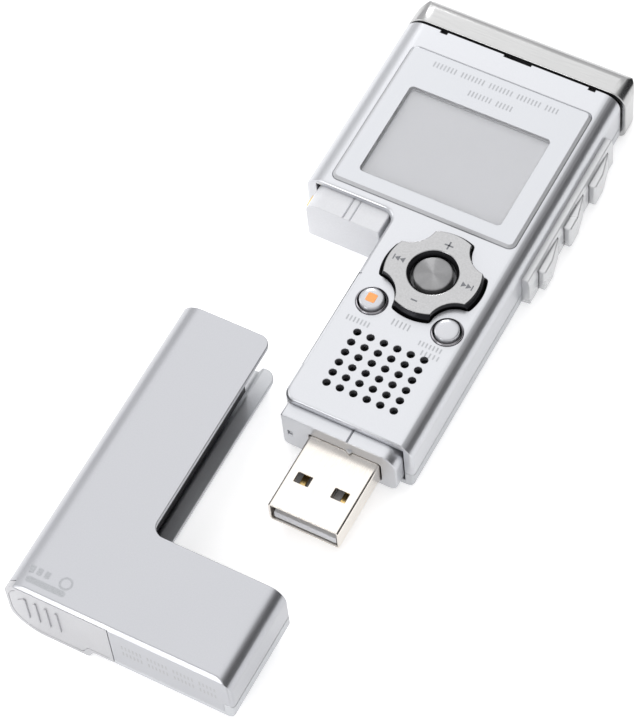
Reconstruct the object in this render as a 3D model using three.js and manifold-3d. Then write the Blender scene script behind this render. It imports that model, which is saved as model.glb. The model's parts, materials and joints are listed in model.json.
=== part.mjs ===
// Handheld voice recorder, lying on its back with its battery cap drawn off beside it.
// Millimetres, +Z up. Every piece of the recorder is drawn in one frame: X runs across it, Y along it
// from the closed cap's end to the metal band, and Z up from its back. The cap is drawn where it sits
// when it is closed, and CAP_OFF then moves it to where it lies.
import * as THREE from 'three';
import { mergeVertices } from 'three/addons/utils/BufferGeometryUtils.js';
import Module from 'manifold-3d';

const wasm = await Module();
wasm.setup();

// ---- driving dimensions ----
const LENGTH = 94.8; // closed recorder, end to end
const WIDTH = 38.6;
const THICK = 11;
const HALF_W = WIDTH / 2;
const GAP = 0.3; // between pieces that touch
const WALL = 1.2; // recorder shells
const CAP_WALL = 0.9;
const FRONT_R = { left: 4, right: 2.8 }; // rounding of the long front edges
const BACK_R = { left: 2.5, right: 1.6 }; // rounding of the long back edges
const SEAM_Z = 3.5; // where front and rear shells meet
const ARC = 6; // facets in a quarter turn

const BAND_Y = 89.4; // lower edge of the metal end band
const BAND_RIGHT = HALF_W + 0.7; // it stands proud of the shell on the right
const BAND_R = { left: 5, right: 3 }; // its corners, seen from the front
const BAND_EDGE_R = { front: 2.6, back: 2 }; // rounding of its end, seen from the side
const BAND_WALL = 1;
const HEAD_Y = 54.3; // lower edge of the wide head
const NARROW_X = -3; // left side of the narrow part
const NARROW_Y = 17.1; // lower end of the narrow part's shells
const NOTCH_R = 2;
const REBATE = { y0: 23.7, y1: 42.1, width: 0.6, depth: 0.8 }; // step along the narrow part's left edge

const LENS = { x0: -15.3, x1: 16.8, y0: 55.75, y1: 84.4, z0: 10.1, z1: 11.5, r: 1.2 }; // stands proud
const WINDOW = { x0: -11.95, x1: 13.3, y0: 58.45, y1: 76.9 };
const LCD = { frameZ0: 7.4, floor: 0.5, panelLift: 0.8, panelDrop: 0.6, r: 0.6 };
const LCD_MARGIN = { side: 0.7, low: 0.6, high: 1 }; // from the lens's edges to the frame's

const NAV = { x: 7.95, y: 46.1, z0: 9.7, skirt: 10.9, top: 12.4, r: 8.1, topR: 7.65, bore: 3.6, rim: 4.1 };
const SCALLOP = { at: 10.67, r: 4.47, degrees: [45, 135, 225, 315] }; // hollows between the pad's four lobes
const NAV_CLEAR = 0.3; // between the pad and its hole
const ACTUATOR = { r: 7.2, bore: 2.4, z0: 8.3, z1: 9 };
const OK_KEY = { r: 3.1, stemR: 1.6, z0: 8.6, ledge: 10, top: 12.15 };
const KEY_Y = 38.1; // the two round buttons
const KEY_DX = 6.5;
const KEY = { r: 1.95, stemR: 1.2, z0: 8.4, ledge: 9.6, top: 12 };
const RING = { r: 2.6, z0: 9.9, z1: 11.3 };
const GRILLE = { x: 7.84, y: 27.2, dx: 2.3, dy: 1.99, count: 6, r: 0.6 };
const SPEAKER = { r: 8, z0: 7.5, z1: 9.4 };
const DOME = { z1: 7.75, shoulder: 7.5, r: 1.6, okR: 1.8, at: 5.4 }; // switches on the board

const BOARD_Z0 = 6.2;
const BOARD_Z1 = 7;
const STRIP = { y0: 53.7, y1: 83.5, z0: 0.8, z1: 7.4, out: 20.7, lip: 20.4 };
const SIDE_KEYS = [
  { name: 'record', y: 78.1 },
  { name: 'stop', y: 69.2 },
  { name: 'play', y: 60.2 },
];
const SIDE_KEY = { long: 6.8, z0: 1.3, z1: 6.3, out: 21.8, inner: 18.6, stem: 1, stemZ: [2.8, 4.8] };
const SIDE_SWITCH = { x0: 13.6, x1: 16.6, plunger: 0.5, half: 2.2, z0: 2.2, z1: 5.6 };

const NECK = { x0: -2, x1: 17.6, y0: 14.8, y1: 18.5, z0: 1.3, z1: 9.8 };
const PLUG = { x: 8.8, width: 12, z0: 2.5, z1: 7.05, tip: 1.6, root: 21.2, metal: 0.35 };
const CONTACT = { x0: -17, x1: -3.9, y0: 50.3, y1: 56, z0: 1.2, z1: 9.8 };
const TERMINAL = { y0: 51.2, y1: 53.4, zs: [3.3, 6.3], high: 1.4, proud: 0.4, deep: 1.2 };
const SCREWS = [[-15.3, 86.4], [8, 86.4], [0.25, 20.9]];
const SCREW = { r: 0.5, headR: 1.15, z0: 0.4, neck: 1.2, tip: 7.4, slot: [0.8, 0.12, 0.65] };
const BOSS = { r: 1.3, bottom: SEAM_Z + GAP / 2, bore: 8.2 };
const SEAT = { r: 1.8, headR: 1.45, floor: 1.5 };
const JACKS = [{ name: 'ear_jack', y: 81 }, { name: 'mic_jack', y: 74.6 }];
const JACK = { z: 3.7, bore: 1.8, barrel: 2.2, hole: 2.5, face: 0.3, back: 12, half: 3, z0: 2.1, z1: 5.9 };
const HOLD = { y: 66.5, slot: 6.8, knob: 4, rest: -0.75, z0: 2.9, z1: 4.5, proud: 0.6, plate: [1.5, 2.3] };

const CAP_OFF = [-5, -29.7, 2]; // from closed to where the cap lies
const LEG_X = -3.3; // inner side of the cap's long leg
const LEG_Y = 54; // its far end
const LEG_R = 1.8;
const FOOT_Y = 16.8; // upper edge of the cap's foot
const BULGE = { depth: 2, r: 6, x: -4.9 }; // the back is deeper over the cell
const END_SEAM = { x0: -1, x1: 17.6, y1: 1.1, z: 1 }; // across the end, the shells meet lower down
const DOOR = { x: -1.3, thick: 1.2, z: 9.9 };
const RIB = { x: [-15.55, -13.75, -11.95, -10.15], half: 0.2, proud: 0.3, z0: 2.4, z1: 8.2 };
const DOOR_HOOK = { x0: -9, x1: -2.6, reach: 0.6, z0: 1.4, z1: 9.4 };
const CELL = { x: -12.6, z: 4.5, r: 5.15, y0: 3.1, y1: 46.4, nubR: 1.9, nub: 0.9 };
const SPRING = { half: 3, y0: 2.1, y1: 2.7 };
const HOLDER = { x0: -6.9, x1: -6, left: -17.6, y0: 2.2, y1: 48.8, wall: 1.2, z0: 1.3, z1: 9.7 };
const HOLDER_WINDOW = { half: 1.4, z0: 3.8, z1: 7 };

// ---- colours and finishes ----
const finish = (color, roughness, metalness) => ({ color, roughness, metalness });
const SILVER = finish(0xe1e4ec, 0.38, 0.35);
const BACK_SILVER = finish(0xd2d5da, 0.42, 0.35);
const BAND_METAL = finish(0xd0d1d3, 0.25, 0.95);
const CHROME = finish(0xc8c9cc, 0.12, 1);
const NICKEL = finish(0xe1deda, 0.3, 0.85);
const CLEAR = finish(0xeceff5, 0.08, 0);
const WHITE = finish(0xe9ecf2, 0.5, 0);
const LCD_GREY = finish(0xcbcbd0, 0.3, 0);
const BLACK = finish(0x2b2c30, 0.6, 0);
const KEY_SILVER = finish(0xd9dadd, 0.4, 0.2);
const BOARD_GREEN = finish(0x1f5a3c, 0.6, 0.05);
const STEEL = finish(0xb4b6ba, 0.3, 0.9);
const GOLD = finish(0xd8b25a, 0.25, 0.9);
const CELL_WRAP = finish(0x3d4a78, 0.4, 0.2);

// ---- solids ----
const toSolid = (geometry) => {
  const bare = geometry.clone();
  bare.deleteAttribute('normal');
  bare.deleteAttribute('uv');
  const merged = mergeVertices(bare, 1e-5);
  return new wasm.Manifold(new wasm.Mesh({
    numProp: 3,
    vertProperties: new Float32Array(merged.attributes.position.array),
    triVerts: new Uint32Array(merged.index.array),
  }));
};

const toGeometry = (solid) => {
  const mesh = solid.getMesh();
  const geometry = new THREE.BufferGeometry();
  geometry.setAttribute('position', new THREE.BufferAttribute(new Float32Array(mesh.vertProperties), 3));
  geometry.setIndex(new THREE.BufferAttribute(new Uint32Array(mesh.triVerts), 1));
  geometry.computeVertexNormals();
  return geometry;
};

const box = (x0, x1, y0, y1, z0, z1) =>
  toSolid(new THREE.BoxGeometry(x1 - x0, y1 - y0, z1 - z0)
    .translate((x0 + x1) / 2, (y0 + y1) / 2, (z0 + z1) / 2));

// An outline of corners [x, y, radius], rounded where the radius is not zero, inside or outside.
const outline = (corners) => {
  const points = [];
  corners.forEach(([x, y, r = 0], i) => {
    const before = corners[(i + corners.length - 1) % corners.length];
    const after = corners[(i + 1) % corners.length];
    if (r === 0) {
      points.push(new THREE.Vector2(x, y));
      return;
    }
    const corner = new THREE.Vector2(x, y);
    const into = corner.clone().sub(new THREE.Vector2(before[0], before[1])).normalize();
    const out = new THREE.Vector2(after[0], after[1]).sub(corner).normalize();
    const turn = Math.acos(THREE.MathUtils.clamp(into.dot(out), -1, 1));
    const reach = r * Math.tan(turn / 2);
    const side = Math.sign(into.cross(out));
    const start = corner.clone().addScaledVector(into, -reach);
    const centre = start.clone().add(new THREE.Vector2(-into.y, into.x).multiplyScalar(side * r));
    const steps = Math.max(2, Math.round(ARC * turn / (Math.PI / 2)));
    for (let k = 0; k <= steps; k += 1) {
      points.push(start.clone().rotateAround(centre, side * turn * k / steps));
    }
  });
  return new THREE.Shape(points);
};

// An outline in X and Y, from z0 up to z1.
const plate = (shape, z0, z1) =>
  toSolid(new THREE.ExtrudeGeometry(shape, { depth: z1 - z0, bevelEnabled: false, curveSegments: 2 })
    .translate(0, 0, z0));

// An outline in X and Z, from y0 to y1.
const bar = (shape, y0, y1) =>
  toSolid(new THREE.ExtrudeGeometry(shape, { depth: y1 - y0, bevelEnabled: false, curveSegments: 2 })
    .rotateX(Math.PI / 2)
    .translate(0, y1, 0));

// An outline in Y and Z, from x0 to x1.
const slab = (shape, x0, x1) =>
  toSolid(new THREE.ExtrudeGeometry(shape, { depth: x1 - x0, bevelEnabled: false, curveSegments: 2 })
    .applyMatrix4(new THREE.Matrix4().makeBasis(
      new THREE.Vector3(0, 1, 0), new THREE.Vector3(0, 0, 1), new THREE.Vector3(1, 0, 0)))
    .translate(x0, 0, 0));

const rect = (x0, x1, y0, y1, r = 0) => outline([[x0, y0, r], [x1, y0, r], [x1, y1, r], [x0, y1, r]]);

// A solid of revolution about +Z: [radius, height] pairs from the axis back to the axis.
const turned = (profile, x, y, segments = 24) =>
  toSolid(new THREE.LatheGeometry(profile.map(([r, z]) => new THREE.Vector2(r, z)), segments)
    .rotateX(Math.PI / 2)
    .translate(x, y, 0));

const disc = (x, y, r, z0, z1, segments = 24) => turned([[0, z0], [r, z0], [r, z1], [0, z1]], x, y, segments);

const join = (first, ...rest) => rest.reduce((solid, other) => solid.add(other), first);
const cut = (first, ...rest) => rest.reduce((solid, other) => solid.subtract(other), first);

const recorder = new THREE.Group();
const cap = new THREE.Group();
const addTo = (group) => (name, solid, look) => {
  const mesh = new THREE.Mesh(toGeometry(solid), new THREE.MeshStandardMaterial(look));
  mesh.name = name;
  group.add(mesh);
};
const put = addTo(recorder);
const putCap = addTo(cap);

// ---- the recorder's outside form, drawn in by `inset` for its hollow ----
const section = (inset, right = HALF_W) => outline([
  [-HALF_W + inset, inset, BACK_R.left - inset],
  [right - inset, inset, BACK_R.right - inset],
  [right - inset, THICK - inset, FRONT_R.right - inset],
  [-HALF_W + inset, THICK - inset, FRONT_R.left - inset],
]);

const bodyPlan = (inset, top, bottom) => outline([
  [NARROW_X + inset, bottom, inset ? 1 : NOTCH_R],
  [HALF_W - inset, bottom],
  [HALF_W - inset, top],
  [-HALF_W + inset, top],
  [-HALF_W + inset, HEAD_Y + inset, inset ? 0.4 : 1],
  [NARROW_X + inset, HEAD_Y + inset, NOTCH_R - inset],
]);

const body = (inset, top, bottom) =>
  plate(bodyPlan(inset, top, bottom), inset, THICK - inset).intersect(bar(section(inset), bottom, top));

// ---- front and rear shells ----
const SHELL_TOP = BAND_Y - 0.5; // the gap below the band shows as a dark line
const hollow = body(WALL, SHELL_TOP + 1, NARROW_Y + WALL);

const keyHole = (x, y, r) => disc(x, y, r, 9, THICK + 1);
const scallops = (r) => SCALLOP.degrees.map((degrees) => {
  const angle = THREE.MathUtils.degToRad(degrees);
  return disc(NAV.x + SCALLOP.at * Math.cos(angle), NAV.y + SCALLOP.at * Math.sin(angle), r, 8, 13, 40);
});
const navHole = () =>
  cut(disc(NAV.x, NAV.y, NAV.r + NAV_CLEAR, 9, THICK + 1, 48), ...scallops(SCALLOP.r - GAP));
const grilleHoles = () => {
  const holes = [];
  for (let i = 0; i < GRILLE.count; i += 1) {
    for (let j = 0; j < GRILLE.count; j += 1) {
      const middle = (GRILLE.count - 1) / 2;
      const x = GRILLE.x + (i - middle) * GRILLE.dx;
      const y = GRILLE.y + (j - middle) * GRILLE.dy;
      holes.push(disc(x, y, GRILLE.r, 9, THICK + 1, 8));
    }
  }
  return holes;
};

const MIC_X = [-12.05, 14.38];
const MIC_SLOT = { half: 0.6, deep: 0.5 };
const MIDDLE_SLOT = { x0: -1.25, x1: 3.6, deep: 0.4 };
const endSlot = (x0, x1, deep) => box(x0, x1, SHELL_TOP - deep, SHELL_TOP + 1, 9, THICK + 1);
const micSlots = () => [
  ...MIC_X.map((x) => endSlot(x - MIC_SLOT.half, x + MIC_SLOT.half, MIC_SLOT.deep)),
  endSlot(MIDDLE_SLOT.x0, MIDDLE_SLOT.x1, MIDDLE_SLOT.deep),
];

const sideOpening = () => join(
  box(HALF_W - 0.6, HALF_W + 1, STRIP.y0 - GAP, STRIP.y1 + GAP, STRIP.z0 - GAP, STRIP.z1 + GAP),
  box(HALF_W - 2, HALF_W, STRIP.y0 + 0.9, STRIP.y1 - 0.9, STRIP.z0 + 0.2, STRIP.z1 - 0.7),
);

const rodX = (x0, x1, y, z, r, segments = 20) =>
  toSolid(new THREE.CylinderGeometry(r, r, x1 - x0, segments).rotateZ(Math.PI / 2)
    .translate((x0 + x1) / 2, y, z));

const leftOpenings = () => join(
  box(-HALF_W - 1, -HALF_W + 2, HOLD.y - HOLD.slot / 2, HOLD.y + HOLD.slot / 2, HOLD.z0 - GAP, HOLD.z1 + GAP),
  ...JACKS.map(({ y }) => rodX(-HALF_W - 1, -HALF_W + 2, y, JACK.z, JACK.hole)),
);

const neckOpening = () =>
  box(NECK.x0 - GAP, NECK.x1 + GAP, NARROW_Y - 1, NECK.y1 + GAP, NECK.z0 - GAP, NECK.z1 + GAP);

const contactOpening = () =>
  box(CONTACT.x0 - GAP, CONTACT.x1 + GAP, HEAD_Y - 1.2, HEAD_Y + 3.2, CONTACT.z0 - GAP, CONTACT.z1 + GAP);

const openings = join(hollow, neckOpening(), contactOpening(), sideOpening(), leftOpenings());

const bosses = () => {
  const posts = SCREWS.map(([x, y]) => disc(x, y, BOSS.r, BOSS.bottom, THICK - WALL + 0.2, 12));
  const bores = SCREWS.map(([x, y]) => disc(x, y, SCREW.r + GAP, SEAM_Z, BOSS.bore, 12));
  return cut(join(...posts), ...bores);
};

const rebate = box(NARROW_X - 1, NARROW_X + REBATE.width, REBATE.y0, REBATE.y1,
  THICK - REBATE.depth, THICK + 1);

const makeFrontShell = () => {
  const half = body(0, SHELL_TOP, NARROW_Y).intersect(
    box(-HALF_W - 1, HALF_W + 1, NARROW_Y - 1, SHELL_TOP + 1, SEAM_Z + GAP / 2, THICK + 1));
  const lensHole = plate(
    rect(LENS.x0 - GAP, LENS.x1 + GAP, LENS.y0 - GAP, LENS.y1 + GAP, LENS.r + GAP), 9, THICK + 1);
  const shell = cut(half, openings, lensHole, rebate,
    navHole(),
    keyHole(NAV.x - KEY_DX, KEY_Y, RING.r + GAP),
    keyHole(NAV.x + KEY_DX, KEY_Y, RING.r + GAP),
    ...grilleHoles(), ...micSlots());
  return join(shell, bosses());
};

const makeRearShell = () => {
  const half = body(0, SHELL_TOP, NARROW_Y).intersect(
    box(-HALF_W - 1, HALF_W + 1, NARROW_Y - 1, SHELL_TOP + 1, -1, SEAM_Z - GAP / 2));
  const seats = SCREWS.map(([x, y]) => disc(x, y, SEAT.r, WALL - 0.2, SEAM_Z - GAP / 2, 16));
  const bores = SCREWS.map(([x, y]) => turned([[0, -1], [SEAT.headR, -1], [SEAT.headR, SEAT.floor],
    [SCREW.r + GAP, SEAT.floor], [SCREW.r + GAP, 5], [0, 5]], x, y, 16));
  return cut(join(cut(half, openings), ...seats), ...bores);
};

put('front_shell', makeFrontShell(), SILVER);
put('rear_shell', makeRearShell(), BACK_SILVER);
SCREWS.forEach(([x, y], i) => {
  const screw = turned([[0, SCREW.z0], [SCREW.headR, SCREW.z0], [SCREW.headR, SCREW.neck],
    [SCREW.r, SCREW.neck], [SCREW.r, SCREW.tip], [0, SCREW.tip]], x, y, 12);
  const [reach, half, top] = SCREW.slot;
  put(`case_screw_${i + 1}`, cut(screw, box(x - reach, x + reach, y - half, y + half, 0, top)), STEEL);
});

// ---- metal end band and the dark gasket behind its gap ----
const makeBand = () => {
  const plan = (inset, bottom) => outline([
    [-HALF_W + inset, bottom],
    [BAND_RIGHT - inset, bottom],
    [BAND_RIGHT - inset, LENGTH - inset, BAND_R.right - inset],
    [-HALF_W + inset, LENGTH - inset, BAND_R.left - inset],
  ]);
  const side = (inset, bottom) => outline([
    [bottom, inset],
    [LENGTH - inset, inset, BAND_EDGE_R.back - inset],
    [LENGTH - inset, THICK - inset, BAND_EDGE_R.front - inset],
    [bottom, THICK - inset],
  ]);
  const form = (inset, bottom) => plate(plan(inset, bottom), inset, THICK - inset)
    .intersect(bar(section(inset, BAND_RIGHT), bottom, LENGTH))
    .intersect(slab(side(inset, bottom), -HALF_W, BAND_RIGHT));
  return cut(form(0, BAND_Y), form(BAND_WALL, BAND_Y - 1));
};
put('end_band', makeBand(), BAND_METAL);
const GASKET = { half: 17.4, z0: 1.8, z1: 9.4, r: 2.5 };
put('end_gasket', bar(rect(-GASKET.half, GASKET.half, GASKET.z0, GASKET.z1, GASKET.r),
  SHELL_TOP - 0.3, BAND_Y + 1), BLACK);
const MIC = { r: 1.6, port: 0.5, z0: 7.4, z1: 9.2, floor: 8.8, back: 3.1 };
MIC_X.forEach((x, i) => {
  const capsule = turned([[0, MIC.z0], [MIC.r, MIC.z0], [MIC.r, MIC.z1], [MIC.port, MIC.z1],
    [MIC.port, MIC.floor], [0, MIC.floor]], x, SHELL_TOP - MIC.back, 16);
  put(i ? 'microphone_right' : 'microphone_left', capsule, STEEL);
});

// ---- display ----
put('display_lens', plate(rect(LENS.x0, LENS.x1, LENS.y0, LENS.y1, LENS.r), LENS.z0, LENS.z1), CLEAR);
put('lcd_frame', cut(
  plate(rect(LENS.x0 + LCD_MARGIN.side, LENS.x1 - LCD_MARGIN.side, LENS.y0 + LCD_MARGIN.low,
    LENS.y1 - LCD_MARGIN.high, LCD.r), LCD.frameZ0, LENS.z0 - GAP),
  box(WINDOW.x0, WINDOW.x1, WINDOW.y0, WINDOW.y1, LCD.frameZ0 + LCD.floor, LENS.z0),
), WHITE);
put('lcd_panel', box(WINDOW.x0 + GAP, WINDOW.x1 - GAP, WINDOW.y0 + GAP, WINDOW.y1 - GAP,
  LCD.frameZ0 + LCD.panelLift, LENS.z0 - LCD.panelDrop), LCD_GREY);

// ---- navigation pad, its rocking plate and the button in its middle ----
const makeNavPad = () => {
  const pad = turned([[0, NAV.z0], [NAV.r, NAV.z0], [NAV.r, NAV.skirt], [NAV.topR, NAV.top - 0.1],
    [NAV.topR - 0.1, NAV.top], [0, NAV.top]], NAV.x, NAV.y, 48);
  const bore = turned([[0, 9], [NAV.bore, 9], [NAV.bore, NAV.top - 0.7], [NAV.rim, NAV.top + 0.1],
    [0, NAV.top + 0.1]], NAV.x, NAV.y, 32);
  return cut(pad, ...scallops(SCALLOP.r), bore);
};
put('nav_pad', makeNavPad(), CHROME);
put('nav_actuator', cut(disc(NAV.x, NAV.y, ACTUATOR.r, ACTUATOR.z0, ACTUATOR.z1, 32),
  disc(NAV.x, NAV.y, ACTUATOR.bore, 8, 10)), WHITE);
put('ok_button', turned([[0, OK_KEY.z0], [OK_KEY.stemR, OK_KEY.z0], [OK_KEY.stemR, OK_KEY.ledge],
  [OK_KEY.r, OK_KEY.ledge], [OK_KEY.r, OK_KEY.top - 0.35], [OK_KEY.r - 0.35, OK_KEY.top - 0.05],
  [0, OK_KEY.top]], NAV.x, NAV.y), CHROME);

const domeSwitch = (x, y, r) => turned([[0, BOARD_Z1 + GAP], [r, BOARD_Z1 + GAP], [r, DOME.shoulder],
  [r * 0.4, DOME.z1], [0, DOME.z1]], x, y, 12);
const NAV_SWITCHES = [['up', 0, 1], ['right', 1, 0], ['down', 0, -1], ['left', -1, 0]];
NAV_SWITCHES.forEach(([name, dx, dy]) => {
  put(`nav_switch_${name}`, domeSwitch(NAV.x + DOME.at * dx, NAV.y + DOME.at * dy, DOME.r), STEEL);
});
put('ok_switch', domeSwitch(NAV.x, NAV.y, DOME.okR), STEEL);

// ---- the two round buttons and their chrome rings ----
const ROUND_KEY = [[0, KEY.z0], [KEY.stemR, KEY.z0], [KEY.stemR, KEY.ledge], [KEY.r, KEY.ledge],
  [KEY.r, KEY.top - 0.3], [KEY.r - 0.25, KEY.top - 0.05], [0, KEY.top]];
const RING_IN = KEY.r + GAP;
const KEY_RING = [[RING_IN, RING.z0], [RING.r, RING.z0], [RING.r, RING.z1 - 0.15], [RING.r - 0.15, RING.z1],
  [RING_IN, RING.z1 - 0.2], [RING_IN, RING.z0]];
[['erase', -KEY_DX], ['index', KEY_DX]].forEach(([name, dx]) => {
  const x = NAV.x + dx;
  put(`${name}_button`, turned(ROUND_KEY, x, KEY_Y), KEY_SILVER);
  put(`${name}_ring`, turned(KEY_RING, x, KEY_Y, 32), CHROME);
  put(`${name}_switch`, domeSwitch(x, KEY_Y, DOME.r), STEEL);
});

// ---- speaker under its grille ----
const CONE = [[SPEAKER.r - 1, SPEAKER.z1], [SPEAKER.r - 1.5, 9], [3, 8.5], [0, 9.1]];
put('speaker', turned([[0, SPEAKER.z0], [SPEAKER.r, SPEAKER.z0], [SPEAKER.r, SPEAKER.z1], ...CONE],
  GRILLE.x, GRILLE.y, 32), BLACK);

// ---- main board ----
put('main_board', plate(outline([
  [-1.4, 22.8, 1], [17.4, 22.8, 1], [17.4, 84, 2], [-13.2, 84, 1],
  [-13.2, 62.5, 1], [-10, 58, 1], [-1.4, 58, 1],
]), BOARD_Z0, BOARD_Z1), BOARD_GREEN);

// ---- record, stop and play keys on the right side ----
const stripSection = outline([
  [HALF_W - GAP, STRIP.z0], [STRIP.out, STRIP.z0 + 0.4], [STRIP.out, STRIP.z1 - 1.5],
  [STRIP.lip, STRIP.z1], [HALF_W - GAP, STRIP.z1],
]);
const makeStrip = () => cut(bar(stripSection, STRIP.y0, STRIP.y1), ...SIDE_KEYS.map(({ y }) =>
  box(HALF_W - 1, STRIP.out + 1, y - SIDE_KEY.long / 2 - GAP, y + SIDE_KEY.long / 2 + GAP,
    SIDE_KEY.z0 - 0.2, SIDE_KEY.z1 + GAP)));
put('side_strip', makeStrip(), SILVER);

SIDE_KEYS.forEach(({ name, y }, i) => {
  const low = y - SIDE_KEY.long / 2;
  const high = y + SIDE_KEY.long / 2;
  const cover = plate(outline([
    [SIDE_KEY.inner, low], [SIDE_KEY.out, low, 0.3], [SIDE_KEY.out, y - 0.5], [STRIP.out + 0.1, high],
    [SIDE_KEY.inner, high],
  ]), SIDE_KEY.z0 + 0.1, SIDE_KEY.z1);
  const [stem0, stem1] = SIDE_KEY.stemZ;
  const stem = box(SIDE_KEY.inner - SIDE_KEY.stem, SIDE_KEY.inner + 0.1, y - 1.5, y + 1.5, stem0, stem1);
  put(`${name}_key`, join(cover, stem), SILVER);
  const base = box(SIDE_SWITCH.x0, SIDE_SWITCH.x1, y - SIDE_SWITCH.half, y + SIDE_SWITCH.half,
    SIDE_SWITCH.z0, SIDE_SWITCH.z1);
  const plunger = box(SIDE_SWITCH.x1 - 0.1, SIDE_SWITCH.x1 + SIDE_SWITCH.plunger, y - 1, y + 1,
    SIDE_SWITCH.z0 + 0.9, SIDE_SWITCH.z1 - 1.1);
  put(`side_switch_${i + 1}`, join(base, plunger), STEEL);
});

// ---- hold slider and the two jacks on the left side ----
const makeHoldSlider = () => {
  const [plate0, plate1] = HOLD.plate;
  const middle = HOLD.y + HOLD.rest;
  const knob = box(-HALF_W - HOLD.proud, -HALF_W + plate0 + 0.1,
    middle - HOLD.knob / 2, middle + HOLD.knob / 2, HOLD.z0, HOLD.z1);
  return join(knob, box(-HALF_W + plate0, -HALF_W + plate1, HOLD.y - 4.2, HOLD.y + 2.7,
    HOLD.z0 - 0.7, HOLD.z1 + 0.7));
};
put('hold_slider', makeHoldSlider(), BLACK);
JACKS.forEach(({ name, y }) => {
  const barrel = rodX(-HALF_W + JACK.face, -HALF_W + 2, y, JACK.z, JACK.barrel);
  const block = box(-HALF_W + 1.6, -HALF_W + JACK.back, y - JACK.half, y + JACK.half, JACK.z0, JACK.z1);
  put(name, cut(join(barrel, block), rodX(-HALF_W, -HALF_W + JACK.back - 1, y, JACK.z, JACK.bore)), BLACK);
});

// ---- neck block and the plug that it holds ----
const plugSection = (inset) => rect(PLUG.x - PLUG.width / 2 + inset, PLUG.x + PLUG.width / 2 - inset,
  PLUG.z0 + inset, PLUG.z1 - inset, Math.max(0.5 - inset, 0.15));
put('neck_block', cut(
  bar(outline([[NECK.x0, NECK.z0, 1], [NECK.x1, NECK.z0, 1.5],
    [NECK.x1, NECK.z1, 2.8], [NECK.x0, NECK.z1, 0.4]]), NECK.y0, NECK.y1),
  bar(plugSection(-GAP), NECK.y0 - 1, NECK.y1 + 1),
), SILVER);

const LATCH_WINDOW = { dx: 3.15, half: 1.2, y0: 5.15, y1: 6.95 }; // from the plug's middle and its tip
const plugWindows = () => [-1, 1].map((side) => {
  const x = PLUG.x + side * LATCH_WINDOW.dx;
  return box(x - LATCH_WINDOW.half, x + LATCH_WINDOW.half,
    PLUG.tip + LATCH_WINDOW.y0, PLUG.tip + LATCH_WINDOW.y1, PLUG.z0 - 1, PLUG.z1 + 1);
});
put('usb_shell', cut(
  bar(plugSection(0), PLUG.tip, PLUG.root),
  bar(plugSection(PLUG.metal), PLUG.tip - 1, PLUG.root + 1),
  ...plugWindows(),
), NICKEL);
const TONGUE = { half: 5.3, z0: PLUG.z0 + 0.65, z1: PLUG.z0 + 2.2 };
const PINS = { x: [-3.5, -1, 1, 3.5], half: 0.5, start: 1.2, end: 9 };
put('usb_tongue', box(PLUG.x - TONGUE.half, PLUG.x + TONGUE.half, PLUG.tip + 0.3, PLUG.root - 0.4,
  TONGUE.z0, TONGUE.z1), WHITE);
PINS.x.forEach((dx, i) => {
  put(`usb_pin_${i + 1}`, box(PLUG.x + dx - PINS.half, PLUG.x + dx + PINS.half, PLUG.tip + PINS.start,
    PLUG.tip + PINS.end, TONGUE.z1 + GAP, TONGUE.z1 + 0.5), GOLD);
});

// ---- contact block in the notch, with its two terminals ----
const contactSection = outline([
  [CONTACT.x0, CONTACT.z0, 0.5], [CONTACT.x1, CONTACT.z0, 0.3],
  [CONTACT.x1, CONTACT.z1, 0.3], [CONTACT.x0, CONTACT.z1, 2],
]);
const terminalBox = (z, grow) => box(CONTACT.x0 - TERMINAL.proud, CONTACT.x0 + TERMINAL.deep + grow,
  TERMINAL.y0 - grow, TERMINAL.y1 + grow, z - grow, z + TERMINAL.high + grow);
put('contact_block', cut(bar(contactSection, CONTACT.y0, CONTACT.y1),
  ...TERMINAL.zs.map((z) => terminalBox(z, GAP))), WHITE);
['terminal_positive', 'terminal_negative'].forEach((name, i) => {
  put(name, terminalBox(TERMINAL.zs[i], 0), GOLD);
});

// ---- battery cap ----
const capSection = (inset) => outline([
  [-HALF_W + inset, -BULGE.depth + inset, BULGE.r - inset],
  [BULGE.x - inset - 1, -BULGE.depth + inset, 0.8],
  [BULGE.x - inset, inset, 0.8],
  [HALF_W - inset, inset, BACK_R.right - inset],
  [HALF_W - inset, THICK - inset, FRONT_R.right - inset],
  [-HALF_W + inset, THICK - inset, FRONT_R.left - inset],
]);
const capPlan = (inset, far) => outline([
  [-HALF_W + inset, inset], [HALF_W - inset, inset], [HALF_W - inset, FOOT_Y + far, 0],
  [LEG_X + far, FOOT_Y + far, far ? 0 : NOTCH_R], [LEG_X + far, LEG_Y + far, far ? 0 : LEG_R],
  [-HALF_W + inset, LEG_Y + far, 0],
]);
const capForm = (inset, far) =>
  plate(capPlan(inset, far), -BULGE.depth - 1, THICK + 1).intersect(bar(capSection(inset), -1, LEG_Y + 5));
const capHollow = capForm(CAP_WALL, 2);
const doorSpace = box(-HALF_W - 1, DOOR.x + GAP, -1, DOOR.thick + GAP, -BULGE.depth - 1, DOOR.z + GAP);
const cellMouth = box(-HALF_W + CAP_WALL, -5, -1, 3, -BULGE.depth + CAP_WALL, THICK - CAP_WALL)
  .intersect(bar(capSection(CAP_WALL), -2, 4));

const capLevels = (z0, z1) => box(-HALF_W - 1, HALF_W + 1, -1, LEG_Y + 1, z0, z1);
const endWall = (grow) => box(END_SEAM.x0 - grow, END_SEAM.x1 + grow, -1, END_SEAM.y1 + grow,
  END_SEAM.z + GAP / 2 - grow, SEAM_Z + 1);
const capShell = (region) => cut(capForm(0, 0).intersect(region), capHollow, doorSpace, cellMouth);
putCap('cap_front_shell', capShell(join(capLevels(SEAM_Z + GAP / 2, THICK + 1), endWall(0))), SILVER);
putCap('cap_rear_shell', capShell(cut(capLevels(-BULGE.depth - 1, SEAM_Z - GAP / 2), endWall(GAP))),
  BACK_SILVER);

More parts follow.
